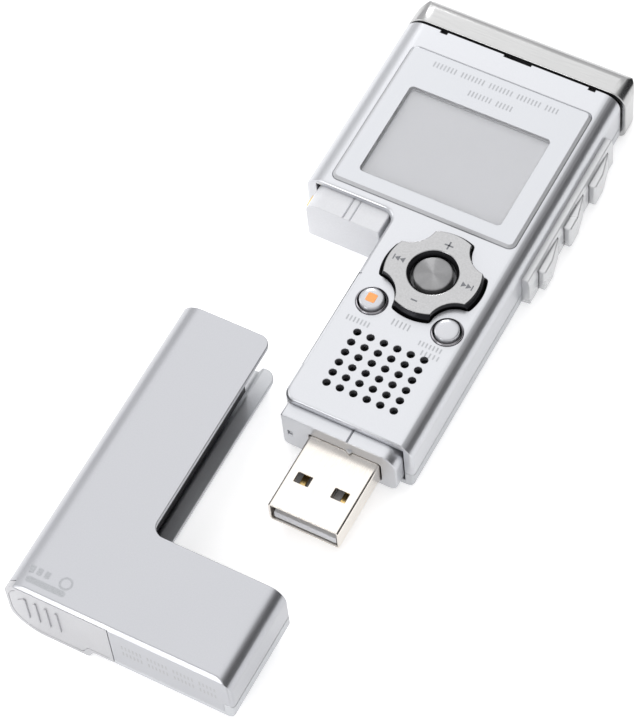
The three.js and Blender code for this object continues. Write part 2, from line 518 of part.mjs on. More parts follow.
// ---- the cell, its holder and contacts, and the door over its end ----
const rodY = (profile, x, z, segments) =>
  toSolid(new THREE.LatheGeometry(profile.map(([r, y]) => new THREE.Vector2(r, y)), segments)
    .translate(x, 0, z));
const makeHolder = () => cut(
  join(
    box(HOLDER.x0, HOLDER.x1, HOLDER.y0, HOLDER.y1, HOLDER.z0, HOLDER.z1),
    bar(outline([[HOLDER.left, HOLDER.z0, 2], [HOLDER.x1, HOLDER.z0], [HOLDER.x1, HOLDER.z1],
      [HOLDER.left, HOLDER.z1, 2.8]]), HOLDER.y1 - HOLDER.wall, HOLDER.y1),
  ),
  box(CELL.x - HOLDER_WINDOW.half, CELL.x + HOLDER_WINDOW.half, HOLDER.y1 - 2, HOLDER.y1 + 1,
    HOLDER_WINDOW.z0, HOLDER_WINDOW.z1),
);
putCap('cell_holder', makeHolder(), BLACK);
putCap('aaa_cell', rodY([[0, CELL.y0], [CELL.r - 0.3, CELL.y0], [CELL.r, CELL.y0 + 0.4],
  [CELL.r, CELL.y1 - 0.5], [CELL.r - 0.5, CELL.y1 - 0.1], [CELL.nubR, CELL.y1 - 0.1],
  [CELL.nubR, CELL.y1 + CELL.nub - 0.2], [0, CELL.y1 + CELL.nub - 0.2]], CELL.x, CELL.z, 28), CELL_WRAP);
putCap('cell_spring', box(CELL.x - SPRING.half, CELL.x + SPRING.half, SPRING.y0, SPRING.y1,
  CELL.z - SPRING.half, CELL.z + SPRING.half), STEEL);

const doorForm = capForm(0, 0).intersect(
  box(-HALF_W - 1, DOOR.x, -1, DOOR.thick, -BULGE.depth - 1, DOOR.z));
const rib = (x) => box(x - RIB.half, x + RIB.half, -RIB.proud, 0.2, RIB.z0, RIB.z1);
const doorHook = box(DOOR_HOOK.x0, DOOR_HOOK.x1, DOOR.thick - 0.1, DOOR.thick + DOOR_HOOK.reach,
  DOOR_HOOK.z0, DOOR_HOOK.z1);
const makeDoor = () => join(doorForm, ...RIB.x.map(rib), doorHook);
putCap('battery_door', makeDoor(), SILVER);

cap.position.set(...CAP_OFF);

// ---- the origin is under the middle of everything, on the table ----
const object = new THREE.Group();
const placed = new THREE.Group();
placed.add(recorder, cap);
object.add(placed);
object.updateMatrixWorld(true);
const extent = new THREE.Box3().setFromObject(object);
placed.position.set(-(extent.min.x + extent.max.x) / 2, -(extent.min.y + extent.max.y) / 2, -extent.min.z);
object.updateMatrixWorld(true);

export default object;
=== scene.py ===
"""Looks of the handheld voice recorder and its battery cap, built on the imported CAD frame.

Shapes are drawn in millimetres in the recorder's own drawing frame: X across it, Y from the closed cap's
end to the metal band, Z up from its back. `place` takes them to metres in the frame. The cap's pieces are
drawn where they sit when it is closed, and `place` moves them to where it lies.
"""

import json
import math

import bpy
from mathutils import Matrix, Vector

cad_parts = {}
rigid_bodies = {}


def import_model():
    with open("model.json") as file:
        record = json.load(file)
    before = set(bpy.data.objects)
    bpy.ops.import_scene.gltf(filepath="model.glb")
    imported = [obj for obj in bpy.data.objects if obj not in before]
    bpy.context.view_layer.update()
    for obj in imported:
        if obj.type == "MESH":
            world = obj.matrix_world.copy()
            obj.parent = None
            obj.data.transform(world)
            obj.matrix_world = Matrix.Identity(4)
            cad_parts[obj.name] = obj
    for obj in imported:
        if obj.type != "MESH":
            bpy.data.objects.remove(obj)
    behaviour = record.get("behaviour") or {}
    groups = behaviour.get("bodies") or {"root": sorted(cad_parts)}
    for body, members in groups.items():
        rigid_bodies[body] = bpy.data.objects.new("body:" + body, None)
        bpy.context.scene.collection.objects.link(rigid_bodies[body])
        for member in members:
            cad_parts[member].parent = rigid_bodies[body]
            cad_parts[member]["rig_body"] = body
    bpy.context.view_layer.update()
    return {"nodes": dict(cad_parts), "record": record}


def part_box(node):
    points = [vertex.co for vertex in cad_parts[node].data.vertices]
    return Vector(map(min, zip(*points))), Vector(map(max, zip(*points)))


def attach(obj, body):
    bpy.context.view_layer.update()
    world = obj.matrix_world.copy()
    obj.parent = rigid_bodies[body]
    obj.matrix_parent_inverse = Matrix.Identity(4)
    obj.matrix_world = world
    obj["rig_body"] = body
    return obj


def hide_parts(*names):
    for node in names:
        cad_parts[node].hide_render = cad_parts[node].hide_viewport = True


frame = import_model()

MM = 0.001

# ---- driving dimensions, in millimetres ----
HALF_W = 19.3
THICK = 11
LENGTH = 94.8
WALL = 1.2
CAP_WALL = 0.9
FRONT_R = {"left": 4, "right": 2.8}
BACK_R = {"left": 2.5, "right": 1.6}
SEAM_Z = 3.5
SEAM = 0.12  # a closed joint between two mouldings
FIT = 0.04  # a close fit round a window or a ring
GAP = 0.3
NARROW_X = -3
NARROW_Y = 17.1
HEAD_Y = 54.3
NOTCH_R = 2
NOTCH_EDGE = {"r": 0.75, "steps": 5}  # rounding of the front's edge round the notch
REBATE_Y = (23.7, 42.1)  # step along the narrow part's left edge
SHELL_TOP = 88.9
BAND_Y = 89.4
BAND_RIGHT = HALF_W + 0.7  # the band stands proud of the shell on the right
BAND_R = {"left": 5, "right": 3}
BAND_EDGE_R = {"front": 2.6, "back": 2}
NAV = {"x": 7.95, "y": 46.1, "r": 8.1, "top_r": 7.65, "skirt": 10.9, "top": 12.4, "bore": 3.6, "rim": 4.12}
NAV_ROOM = {"lobe": 0.3, "scallop": 0.2}  # between the pad and its opening
SCALLOP = {"at": 10.67, "r": 4.47, "degrees": (45, 135, 225, 315)}
KEY_Y = 38.1
KEYS_X = {"erase": NAV["x"] - 6.5, "index": NAV["x"] + 6.5}
KEY_R = 1.95
RING_R = 2.5
KEY_TOP = 12
OK_R = 3.08
OK_TOP = 12.15
FRONT_CUT = 9  # where cutters of the front start, under its wall
JACK = {"z": 3.7, "hole": 2.45, "bore": 1.8, "deep": 11}
# the hold slider: half its knob's length, heights of knob and slot, and how far up from the ends of its
# plate the slot starts and stops
HOLD = {"half": 2, "knob": (2.9, 4.5), "slot": (2.6, 4.8), "start": 0.8, "stop": 0.7}
GRILLE = {"x": 7.84, "y": 27.2, "dx": 2.3, "dy": 1.99, "count": 6, "r": 0.62}
ARC = 10  # facets in a quarter turn

# ---- where the drawing lies in the frame ----
NODE_SLOT = {row["node"]: row["material_slot"] for row in frame["record"]["subparts"]}
NODE_BODY = {name: node["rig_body"] for name, node in frame["nodes"].items()}
CAP_BODIES = ("cap", "cell_door")


def drawing_origin():
    """Where the recorder's and the cap's drawing origins lie, in millimetres in the frame."""
    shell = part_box("front_shell")[0] / MM
    cap_low, cap_high = (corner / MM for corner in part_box("cap_front_shell"))
    recorder = Vector((shell.x + HALF_W, shell.y - NARROW_Y, 0))
    return recorder, Vector((cap_low.x + HALF_W, cap_low.y, cap_high.z - THICK))


RECORDER_AT, CAP_AT = drawing_origin()


def origin_of(node):
    return CAP_AT if NODE_BODY[node] in CAP_BODIES else RECORDER_AT


def span(node):
    """A CAD node's box as (x0, x1, y0, y1, z0, z1), in the drawing's millimetres."""
    low, high = (corner / MM - origin_of(node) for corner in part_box(node))
    return low.x, high.x, low.y, high.y, low.z, high.z


# ---- materials ----
def new_material(name, color, roughness, metallic, **fixed):
    mat = bpy.data.materials.new(name)
    mat.use_nodes = True
    shader = mat.node_tree.nodes["Principled BSDF"]
    shader.inputs["Base Color"].default_value = (*color, 1)
    shader.inputs["Roughness"].default_value = roughness
    shader.inputs["Metallic"].default_value = metallic
    for socket, value in fixed.items():
        shader.inputs[socket.replace("_", " ")].default_value = value
    mat.diffuse_color = (*color, 1)
    return mat


def add_noise(mat, size, detail=2.0, stretch=(1, 1, 1)):
    """A noise over the piece whose features are `size` metres across."""
    nodes, links = mat.node_tree.nodes, mat.node_tree.links
    where = nodes.new("ShaderNodeTexCoord")
    mapping = nodes.new("ShaderNodeMapping")
    noise = nodes.new("ShaderNodeTexNoise")
    mapping.inputs["Scale"].default_value = stretch
    noise.inputs["Scale"].default_value = 1 / size
    noise.inputs["Detail"].default_value = detail
    links.new(where.outputs["Object"], mapping.inputs["Vector"])
    links.new(mapping.outputs["Vector"], noise.inputs["Vector"])
    return noise.outputs["Fac"]


def vary_color(mat, source, color, spread):
    """Base colour that runs from a little darker to a little lighter with `source`."""
    nodes, links = mat.node_tree.nodes, mat.node_tree.links
    ramp = nodes.new("ShaderNodeValToRGB")
    ramp.color_ramp.elements[0].position = 0.3
    ramp.color_ramp.elements[1].position = 0.7
    ramp.color_ramp.elements[0].color = (*[c * (1 - spread) for c in color], 1)
    ramp.color_ramp.elements[1].color = (*[min(1, c * (1 + spread)) for c in color], 1)
    links.new(source, ramp.inputs["Fac"])
    links.new(ramp.outputs["Color"], nodes["Principled BSDF"].inputs["Base Color"])


def vary_roughness(mat, source, low, high):
    nodes, links = mat.node_tree.nodes, mat.node_tree.links
    reach = nodes.new("ShaderNodeMapRange")
    reach.inputs["From Min"].default_value = 0.3
    reach.inputs["From Max"].default_value = 0.7
    reach.inputs["To Min"].default_value = low
    reach.inputs["To Max"].default_value = high
    links.new(source, reach.inputs["Value"])
    links.new(reach.outputs["Result"], nodes["Principled BSDF"].inputs["Roughness"])


def add_bump(mat, source, height):
    nodes, links = mat.node_tree.nodes, mat.node_tree.links
    bump = nodes.new("ShaderNodeBump")
    bump.inputs["Distance"].default_value = height
    bump.inputs["Strength"].default_value = 1
    links.new(source, bump.inputs["Height"])
    links.new(bump.outputs["Normal"], nodes["Principled BSDF"].inputs["Normal"])


GLOSS_PATCH = 9  # how far apart the changes in gloss lie


def surface(name, color, roughness, metallic=0.0, grain=0.3, spread=0.03, wear=0.05, bump=0.002,
            stretch=(1, 1, 1), **fixed):
    """A finish with fine grain in its colour, slow change in its gloss, and relief.

    `grain` and `bump` are in millimetres.
    """
    mat = new_material(name, color, roughness, metallic, **fixed)
    fine = add_noise(mat, grain * MM, stretch=stretch)
    slow = add_noise(mat, GLOSS_PATCH * MM, detail=3)
    vary_color(mat, fine, color, spread)
    vary_roughness(mat, slow, max(0.02, roughness - wear), roughness + wear)
    add_bump(mat, fine, bump * MM)
    return mat


SATIN = {"roughness": 0.3, "metallic": 0.85, "grain": 0.2, "spread": 0.02, "wear": 0.02, "bump": 0.0002}
SILVER = surface("satin_silver", (0.545, 0.553, 0.577), **SATIN)
CAP_SILVER = surface("cap_silver", (0.44, 0.445, 0.468), **SATIN)
BACK_SILVER = surface("back_silver", (0.52, 0.53, 0.55), 0.38, 0.7, grain=0.14, spread=0.04, bump=0.0015)
TRIM = surface("trim_silver", (0.58, 0.585, 0.595), 0.3, 0.7, grain=0.12, spread=0.03, bump=0.0008)
DOOR_PAINT = surface("door_silver", (0.49, 0.49, 0.505), 0.42, 0.6, grain=0.14, spread=0.03, bump=0.0015)
BAND = surface("band_metal", (0.46, 0.46, 0.46), 0.24, 1.0, grain=0.15, spread=0.03, wear=0.04, bump=0.0008,
               stretch=(0.05, 1, 1))
RUBBER = surface("black_rubber", (0.06, 0.06, 0.065), 0.6, grain=0.2, spread=0.3, bump=0.004)
# flat grey for the clear lens's sloping edges: painted shade where the edge looks dark
PAINTED_BEVEL_SHADE = surface("painted_bevel_shade", (0.42, 0.425, 0.44), 0.3, grain=0.2, spread=0.03, bump=0.0002)
# light grey for the window's inner walls: painted light that lifts the shade on them
PAINTED_WINDOW_LIGHT = surface("painted_window_light", (0.62, 0.62, 0.64), 0.5, grain=0.2, spread=0.02, bump=0.0005)
PRINT_BORDER = surface("lens_border", (0.52, 0.53, 0.555), 0.3, 0.8, grain=0.12, spread=0.015, wear=0.02,
                       bump=0.0002, Coat_Weight=0.3, Coat_Roughness=0.05)
CLEAR = surface("lens_clear", (0.9, 0.92, 0.95), 0.04, grain=2, spread=0.01, wear=0.02, bump=0.0001,
                Alpha=0.1)
WHITE = surface("white_plastic", (0.66, 0.665, 0.69), 0.45, grain=0.3, spread=0.02, bump=0.002)
CHROME = surface("satin_chrome", (0.40, 0.40, 0.405), 0.24, 1.0, grain=0.3, spread=0.04, wear=0.04,
                 bump=0.0006)
# near-black for the pad's sloping sides: painted shade and painted dark reflection of the gap round the pad
PAINTED_PAD_SHADE = surface("painted_pad_shade", (0.03, 0.03, 0.033), 0.22, 0.9, grain=0.3, spread=0.1, bump=0.001)
RING_CHROME = surface("ring_chrome", (0.34, 0.33, 0.35), 0.18, 1.0, grain=0.3, spread=0.04, bump=0.0005)
KEY_PAINT = surface("key_paint", (0.50, 0.505, 0.53), 0.3, 0.6, grain=0.1, spread=0.03, bump=0.0008,
                    Coat_Weight=0.5, Coat_Roughness=0.08)
ORANGE = surface("orange_dot", (0.93, 0.36, 0.10), 0.35, grain=0.2, spread=0.05, bump=0.0006)
RED = surface("red_dot", (0.75, 0.10, 0.10), 0.35, grain=0.2, spread=0.05, bump=0.0006)
INK = surface("grey_ink", (0.16, 0.165, 0.18), 0.5, grain=0.15, spread=0.12, bump=0.0006)
FAINT_INK = surface("faint_ink", (0.40, 0.40, 0.41), 0.45, 0.6, grain=0.15, spread=0.1, bump=0.0006)
PALE_INK = surface("pale_ink", (0.40, 0.41, 0.43), 0.45, 0.2, grain=0.15, spread=0.1, bump=0.0006)
BRUSHED = surface("turned_metal", (0.27, 0.27, 0.275), 0.42, 1.0, grain=0.3, spread=0.03, wear=0.03,
                  bump=0.0003, Anisotropic=0.9, Anisotropic_Rotation=0.25)
NICKEL = surface("plug_nickel", (0.76, 0.72, 0.67), 0.24, 1.0, grain=0.25, spread=0.04, wear=0.07,
                 bump=0.0012, stretch=(1, 0.15, 1))
GOLD = surface("gold_plate", (0.83, 0.60, 0.25), 0.22, 1.0, grain=0.2, spread=0.05, bump=0.0006)
STEEL = surface("plated_steel", (0.56, 0.57, 0.59), 0.28, 1.0, grain=0.15, spread=0.05, wear=0.08, bump=0.001)
BLACK = surface("black_plastic", (0.022, 0.022, 0.025), 0.42, grain=0.25, spread=0.2, bump=0.003)
CONE = surface("speaker_cone", (0.02, 0.02, 0.022), 0.7, grain=0.2, spread=0.3, bump=0.01)
BOARD = surface("solder_mask", (0.03, 0.17, 0.08), 0.3, grain=0.6, spread=0.25, bump=0.006, Coat_Weight=0.6)
CELL_WRAP = surface("cell_sleeve", (0.09, 0.12, 0.30), 0.25, 0.4, grain=0.5, spread=0.1, bump=0.001,
                    Coat_Weight=0.7)


def turn_grain(mat):
    """Runs a brushed finish in circles round the piece's upright axis."""
    tangent = mat.node_tree.nodes.new("ShaderNodeTangent")
    tangent.direction_type = "RADIAL"
    tangent.axis = "Z"
    shader = mat.node_tree.nodes["Principled BSDF"]
    mat.node_tree.links.new(tangent.outputs["Tangent"], shader.inputs["Tangent"])


turn_grain(BRUSHED)


def lcd_material():
    """Grey display glass with the faint grid of its dots."""
    color = (0.46, 0.46, 0.48)
    mat = new_material("lcd_grey", color, 0.22, 0.0, Coat_Weight=0.6, Coat_Roughness=0.05)
    nodes, links = mat.node_tree.nodes, mat.node_tree.links
    where = nodes.new("ShaderNodeTexCoord")
    grid = nodes.new("ShaderNodeTexBrick")
    dot = 0.34 * MM
    grid.offset = 0
    grid.inputs["Scale"].default_value = 1
    grid.inputs["Brick Width"].default_value = dot
    grid.inputs["Row Height"].default_value = dot
    grid.inputs["Mortar Size"].default_value = dot * 0.08
    grid.inputs["Mortar Smooth"].default_value = 0.4
    grid.inputs["Color1"].default_value = (*color, 1)
    grid.inputs["Color2"].default_value = (*[c * 0.985 for c in color], 1)
    grid.inputs["Mortar"].default_value = (*[c * 1.06 for c in color], 1)
    links.new(where.outputs["Object"], grid.inputs["Vector"])
    links.new(grid.outputs["Color"], nodes["Principled BSDF"].inputs["Base Color"])
    slow = add_noise(mat, 12 * MM, detail=2)
    vary_roughness(mat, slow, 0.18, 0.26)
    return mat


LCD = lcd_material()

# ---- forms, in the drawing's millimetres ----
AXES = {
    "z": lambda u, v, w: (u, v, w),
    "y": lambda u, v, w: (u, w, v),
    "x": lambda u, v, w: (w, u, v),
}


def outline(corners):
    """Points round corners (x, y, radius), with an arc at each corner that has a radius."""
    points = []
    for i, (x, y, r) in enumerate(corners):
        corner = Vector((x, y))
        if r <= 0:
            points.append(corner)
            continue
        before = Vector(corners[i - 1][:2])
        after = Vector(corners[(i + 1) % len(corners)][:2])
        into = (corner - before).normalized()
        out = (after - corner).normalized()
        turn = math.acos(max(-1, min(1, into.dot(out))))
        side = math.copysign(1, into.x * out.y - into.y * out.x)
        start = corner - into * r * math.tan(turn / 2)
        centre = start + Vector((-into.y, into.x)) * side * r
        steps = max(2, round(ARC * turn / (math.pi / 2)))
        for k in range(steps + 1):
            points.append(centre + Matrix.Rotation(side * turn * k / steps, 2) @ (start - centre))
    return points


def rect(x0, x1, y0, y1, r=0):
    return outline([(x0, y0, r), (x1, y0, r), (x1, y1, r), (x0, y1, r)])


def mesh_object(vertices, faces):
    mesh = bpy.data.meshes.new("form")
    mesh.from_pydata(vertices, [], faces)
    mesh.validate()
    thing = bpy.data.objects.new("form", mesh)
    bpy.context.scene.collection.objects.link(thing)
    return thing


def prism(points, low, high, axis="z"):
    """An outline pushed along an axis.

    The outline is in X and Y for axis z, X and Z for y, and Y and Z for x.
    """
    to_space = AXES[axis]
    n = len(points)
    vertices = [to_space(u, v, w) for w in (low, high) for u, v in points]
    area = sum(points[i - 1].x * points[i].y - points[i].x * points[i - 1].y for i in range(n))
    faces = [tuple(reversed(range(n))), tuple(range(n, 2 * n))]
    faces += [(i, (i + 1) % n, (i + 1) % n + n, i + n) for i in range(n)]
    if (area < 0) != (axis == "y"):
        faces = [tuple(reversed(face)) for face in faces]
    return mesh_object(vertices, faces)


def loft(rings):
    """A closed form through outlines of equal length, each given with its height, from the lowest up."""
    n = len(rings[0][0])
    vertices = [(u, v, z) for points, z in rings for u, v in points]
    faces = [tuple(reversed(range(n))), tuple(range(n * (len(rings) - 1), n * len(rings)))]
    for k in range(len(rings) - 1):
        at = k * n
        faces += [(at + i, at + (i + 1) % n, at + (i + 1) % n + n, at + i + n) for i in range(n)]
    return mesh_object(vertices, faces)


def box(x0, x1, y0, y1, z0, z1):
    return prism(rect(x0, x1, y0, y1), z0, z1)


def lathe(profile, x, y, segments=64, axis="z"):
    """A profile of (radius, height) pairs turned about an axis.

    The axis goes through (x, y), or through (x, z) for axis y and (y, z) for axis x.
    """
    to_space = AXES[axis]
    vertices, rings = [], []
    closed = profile[0] == profile[-1]
    for r, h in profile[:-1] if closed else profile:
        count = 1 if r == 0 else segments
        rings.append(range(len(vertices), len(vertices) + count))
        for k in range(count):
            angle = 2 * math.pi * k / segments
            vertices.append(to_space(x + r * math.cos(angle), y + r * math.sin(angle), h))
    pairs = list(zip(rings, rings[1:] + rings[:1])) if closed else list(zip(rings, rings[1:]))
    faces = []
    for low, high in pairs:
        for k in range(segments):
            a, b = k % len(low), (k + 1) % len(low)
            c, d = (k + 1) % len(high), k % len(high)
            face = [low[a], low[b], high[c], high[d]]
            faces.append([v for i, v in enumerate(face) if v not in face[:i]])
    faces = [face for face in faces if len(face) > 2]
    if axis == "y":
        faces = [face[::-1] for face in faces]
    return mesh_object(vertices, faces)


def disc(x, y, r, z0, z1, segments=48, axis="z"):
    return lathe([(0, z0), (r, z0), (r, z1), (0, z1)], x, y, segments, axis)


def settle(thing):
    """Makes a thing's modifiers part of its mesh."""
    bpy.context.view_layer.update()
    evaluated = thing.evaluated_get(bpy.context.evaluated_depsgraph_get())
    mesh = bpy.data.meshes.new_from_object(evaluated)
    thing.modifiers.clear()
    thing.data = mesh
    return thing


def gather(things):
    """Several things as one object."""
    first, *rest = things
    if rest:
        with bpy.context.temp_override(active_object=first, selected_editable_objects=[first, *rest]):
            bpy.ops.object.join()
    return first


def combine(first, operation, others):
    for other in others:
        modifier = first.modifiers.new("combine", "BOOLEAN")
        modifier.operation = operation
        modifier.object = other
        modifier.solver = "EXACT"
    settle(first)
    for other in others:
        bpy.data.objects.remove(other)
    return first


def join(first, *others):
    return combine(first, "UNION", others)


def cut(first, *others):
    return combine(first, "DIFFERENCE", others)


def keep(first, *others):
    return combine(first, "INTERSECT", others)


def soften(thing, width, segments=3, angle=35):
    """Rounds every edge sharper than the angle, and shades the rest smooth."""
    thing.data.shade_smooth()
    modifier = thing.modifiers.new("soften", "BEVEL")
    modifier.width = width
    modifier.segments = segments
    modifier.limit_method = "ANGLE"
    modifier.angle_limit = math.radians(angle)
    modifier.use_clamp_overlap = False
    modifier.harden_normals = True
    weigh = thing.modifiers.new("weigh", "WEIGHTED_NORMAL")
    weigh.keep_sharp = True
    return settle(thing)


STEEP = 0.55  # a face whose normal rises less than this is steep


def paint(thing, mat, wall=None):
    """Gives a thing a material, and its steep faces another where `wall` names one."""
    thing.data.materials.clear()
    thing.data.materials.append(mat)
    for polygon in thing.data.polygons:
        polygon.material_index = 0
    if wall:
        thing.data.materials.append(wall)
        for polygon in thing.data.polygons:
            polygon.material_index = int(abs(polygon.normal.z) < STEEP)
    return thing


def paint_where(thing, mat, chosen):
    """Gives the faces that `chosen` picks by their middle and normal a further material."""
    thing.data.materials.append(mat)
    for polygon in thing.data.polygons:
        if chosen(polygon.center, polygon.normal):
            polygon.material_index = len(thing.data.materials) - 1
    return thing


def place(node, *things):
    """The things become one piece that stands for a CAD node, riding on its body."""
    piece = gather(list(things))
    piece.name = "fine_" + node
    piece.data.name = piece.name
    move = Matrix.Translation(origin_of(node) * MM) @ Matrix.Diagonal((MM, MM, MM, 1))
    piece.data.transform(move)
    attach(piece, NODE_BODY[node])
    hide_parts(node)
    return piece


# ---- the recorder's outer form ----
def section(inset, right=HALF_W):
    return outline([
        (-HALF_W + inset, inset, BACK_R["left"] - inset),
        (right - inset, inset, BACK_R["right"] - inset),
        (right - inset, THICK - inset, FRONT_R["right"] - inset),
        (-HALF_W + inset, THICK - inset, FRONT_R["left"] - inset),
    ])


def body_plan(inset, draw, top, bottom):
    """The shell seen from the front; `draw` pulls in its edges round the notch and at the lower end."""
    return outline([
        (NARROW_X + inset + draw, bottom + draw * 0.6, 1 if inset else NOTCH_R),
        (HALF_W - inset, bottom + draw * 0.6, 0.6),
        (HALF_W - inset, top, 0),
        (-HALF_W + inset, top, 0),
        (-HALF_W + inset, HEAD_Y + inset + draw, 0.4 if inset else 1),
        (NARROW_X + inset + draw, HEAD_Y + inset + draw, NOTCH_R - inset + draw),
    ])


def body_form(inset, top, bottom, low, high):
    """The shell between two heights. Outside, its front edges round the notch are rounded."""
    rings = [(body_plan(inset, 0, top, bottom), low)]
    if inset or high < THICK:
        rings.append((body_plan(inset, 0, top, bottom), high))
    else:
        for k in range(NOTCH_EDGE["steps"] + 1):
            turn = math.pi / 2 * k / NOTCH_EDGE["steps"]
            draw = NOTCH_EDGE["r"] * (1 - math.cos(turn))
            rings.append((body_plan(0, draw, top, bottom), THICK - NOTCH_EDGE["r"] * (1 - math.sin(turn))))
    return keep(prism(section(inset), bottom - 1, top + 1, "y"), loft(rings))


def nav_scallops(low, high):
    discs = []
    for degrees in SCALLOP["degrees"]:
        angle = math.radians(degrees)
        x = NAV["x"] + SCALLOP["at"] * math.cos(angle)
        y = NAV["y"] + SCALLOP["at"] * math.sin(angle)
        discs.append(disc(x, y, SCALLOP["r"], low, high, 96))
    return discs


def nav_reach(angle, radius, hollow):
    """How far a disc with four hollows reaches from its middle at an angle."""
    reach = radius
    for degrees in SCALLOP["degrees"]:
        along = SCALLOP["at"] * math.cos(angle - math.radians(degrees))
        beside = SCALLOP["at"] * math.sin(angle - math.radians(degrees))
        if along > 0 and abs(beside) < hollow:
            reach = min(reach, along - math.sqrt(hollow ** 2 - beside ** 2))
    return reach


def nav_hole():
    """The opening round the pad, which follows its four lobes and rounds the points between them."""
    count = 240
    radius, hollow = NAV["r"] + NAV_ROOM["lobe"], SCALLOP["r"] - NAV_ROOM["scallop"]
    reaches = [nav_reach(2 * math.pi * k / count, radius, hollow) for k in range(count)]
    points = []
    for k in range(count):
        reach = (reaches[k - 1] + 2 * reaches[k] + reaches[(k + 1) % count]) / 4
        angle = 2 * math.pi * k / count
        points.append(Vector((NAV["x"] + reach * math.cos(angle), NAV["y"] + reach * math.sin(angle))))
    return prism(points, FRONT_CUT, THICK + 1)


def grille_holes():
    middle = (GRILLE["count"] - 1) / 2
    holes = []
    for i in range(GRILLE["count"]):
        for j in range(GRILLE["count"]):
            x = GRILLE["x"] + (i - middle) * GRILLE["dx"]
            y = GRILLE["y"] + (j - middle) * GRILLE["dy"]
            holes.append(disc(x, y, GRILLE["r"], FRONT_CUT, THICK + 1, 20))
    return gather(holes)


def microphone_slots():
    """Two short slots under the band, over the microphones, and a wide one between them."""
    slots = []
    for node in ("microphone_left", "microphone_right"):
        x0, x1 = span(node)[:2]
        x = (x0 + x1) / 2
        slots.append(box(x - 0.6, x + 0.6, SHELL_TOP - 0.5, SHELL_TOP + 1, FRONT_CUT, THICK + 1))
    slots.append(box(-1.25, 3.6, SHELL_TOP - 0.4, SHELL_TOP + 1, FRONT_CUT, THICK + 1))
    return gather(slots)


def side_openings():
    """Cuts in both shells: neck, contact block, side strip, hold slider and jacks."""
    nx0, nx1, _, ny1, nz0, nz1 = span("neck_block")
    cx0, cx1, _, _, cz0, cz1 = span("contact_block")
    _, _, sy0, sy1, sz0, sz1 = span("side_strip")
    _, _, hy0, hy1, _, _ = span("hold_slider")
    tools = [
        box(nx0 - SEAM, nx1 + SEAM, NARROW_Y - 1, ny1 + GAP, nz0 - SEAM, nz1 + SEAM),
        box(cx0 - SEAM, cx1 + SEAM, HEAD_Y - 1.2, HEAD_Y + 3.2, cz0 - SEAM, cz1 + SEAM),
        box(HALF_W - 0.6, HALF_W + 1, sy0 - 0.05, sy1 + 0.05, sz0 - 0.05, sz1 + 0.05),
        box(HALF_W - 2, HALF_W, sy0 + 0.9, sy1 - 0.9, sz0 + 0.2, sz1 - 0.7),
        box(-HALF_W - 1, -HALF_W + 2, hy0 + HOLD["start"], hy1 + HOLD["stop"], *HOLD["slot"]),
    ]
    for node in ("ear_jack", "mic_jack"):
        _, _, y0, y1, _, _ = span(node)
        tools.append(disc((y0 + y1) / 2, JACK["z"], JACK["hole"], -HALF_W - 1, -HALF_W + 2, 48, "x"))
    return tools


# rows of ticks: middle x, y, length, height
KEYPAD_LEGENDS = [(1.7, 34, 4.8, 1), (7.7, 36.2, 3.4, 1.2), (13.8, 34.6, 4.8, 0.9), (14.2, 33.2, 3.4, 0.9)]
LENS_LEGENDS = [(0.75, 82.05, 22.4, 1.1), (1.15, 79.35, 8, 1.1)]


def build_front_shell():
    low = SEAM_Z + SEAM / 2
    shell = body_form(0, SHELL_TOP, NARROW_Y, low, THICK)
    x0, x1, y0, y1, _, _ = span("display_lens")
    cut(shell, body_form(WALL, SHELL_TOP + 1, NARROW_Y + WALL, 0, THICK - WALL), *side_openings())
    cut(shell,
        prism(rect(x0 - FIT, x1 + FIT, y0 - FIT, y1 + FIT, 1.22), FRONT_CUT, THICK + 1),
        box(NARROW_X - 1, NARROW_X + 0.6, REBATE_Y[0], REBATE_Y[1], THICK - 0.5, THICK + 1),
        nav_hole(),
        *[disc(x, KEY_Y, RING_R + FIT, FRONT_CUT, THICK + 1, 72) for x in KEYS_X.values()],
        grille_holes(), microphone_slots())
    return [paint(soften(shell, 0.08, 2), SILVER), *legend_ticks(KEYPAD_LEGENDS, THICK)]


SCREW_BOSS_R = 1.75
SCREW_SEAT = [(0, -1), (1.7, -1), (1.45, 0.25), (1.45, 1.5), (0.8, 1.5), (0.8, 5), (0, 5)]


def build_rear_shell():
    high = SEAM_Z - SEAM / 2
    shell = body_form(0, SHELL_TOP, NARROW_Y, 0, high)
    cut(shell, body_form(WALL, SHELL_TOP + 1, NARROW_Y + WALL, WALL, THICK), *side_openings())
    for i in (1, 2, 3):
        x0, x1, y0, y1, _, _ = span(f"case_screw_{i}")
        x, y = (x0 + x1) / 2, (y0 + y1) / 2
        join(shell, disc(x, y, SCREW_BOSS_R, WALL - 0.3, high, 32))
        cut(shell, lathe(SCREW_SEAT, x, y, 32))
    return paint(soften(shell, 0.1, 2), BACK_SILVER)


def build_band():
    def form(inset, bottom):
        plan = outline([
            (-HALF_W + inset, bottom, 0), (BAND_RIGHT - inset, bottom, 0),
            (BAND_RIGHT - inset, LENGTH - inset, BAND_R["right"] - inset),
            (-HALF_W + inset, LENGTH - inset, BAND_R["left"] - inset),
        ])
        side = outline([
            (bottom, inset, 0),
            (LENGTH - inset, inset, BAND_EDGE_R["back"] - inset),
            (LENGTH - inset, THICK - inset, BAND_EDGE_R["front"] - inset),
            (bottom, THICK - inset, 0),
        ])
        return keep(prism(section(inset, BAND_RIGHT), bottom - 1, LENGTH + 1, "y"),
                    prism(plan, -1, THICK + 1), prism(side, -HALF_W - 1, BAND_RIGHT + 1, "x"))

    band = cut(form(0, BAND_Y), form(1, BAND_Y - 1))
    return paint(soften(band, 0.15, 2), BAND)


def build_gasket():
    x0, x1, y0, y1, z0, z1 = span("end_gasket")
    ring = prism(rect(x0, x1, z0, z1, 2.5), y0, y1, "y")
    return paint(soften(ring, 0.2, 2), RUBBER)


# ---- display ----
WINDOW_Z = 10.75  # underside of the clear window
LENS_SLOPE = {"wide": 0.45, "deep": 0.42}  # the lens's sloping edge
TICK = {"pitch": 0.62, "wide": 0.24, "word": 8}


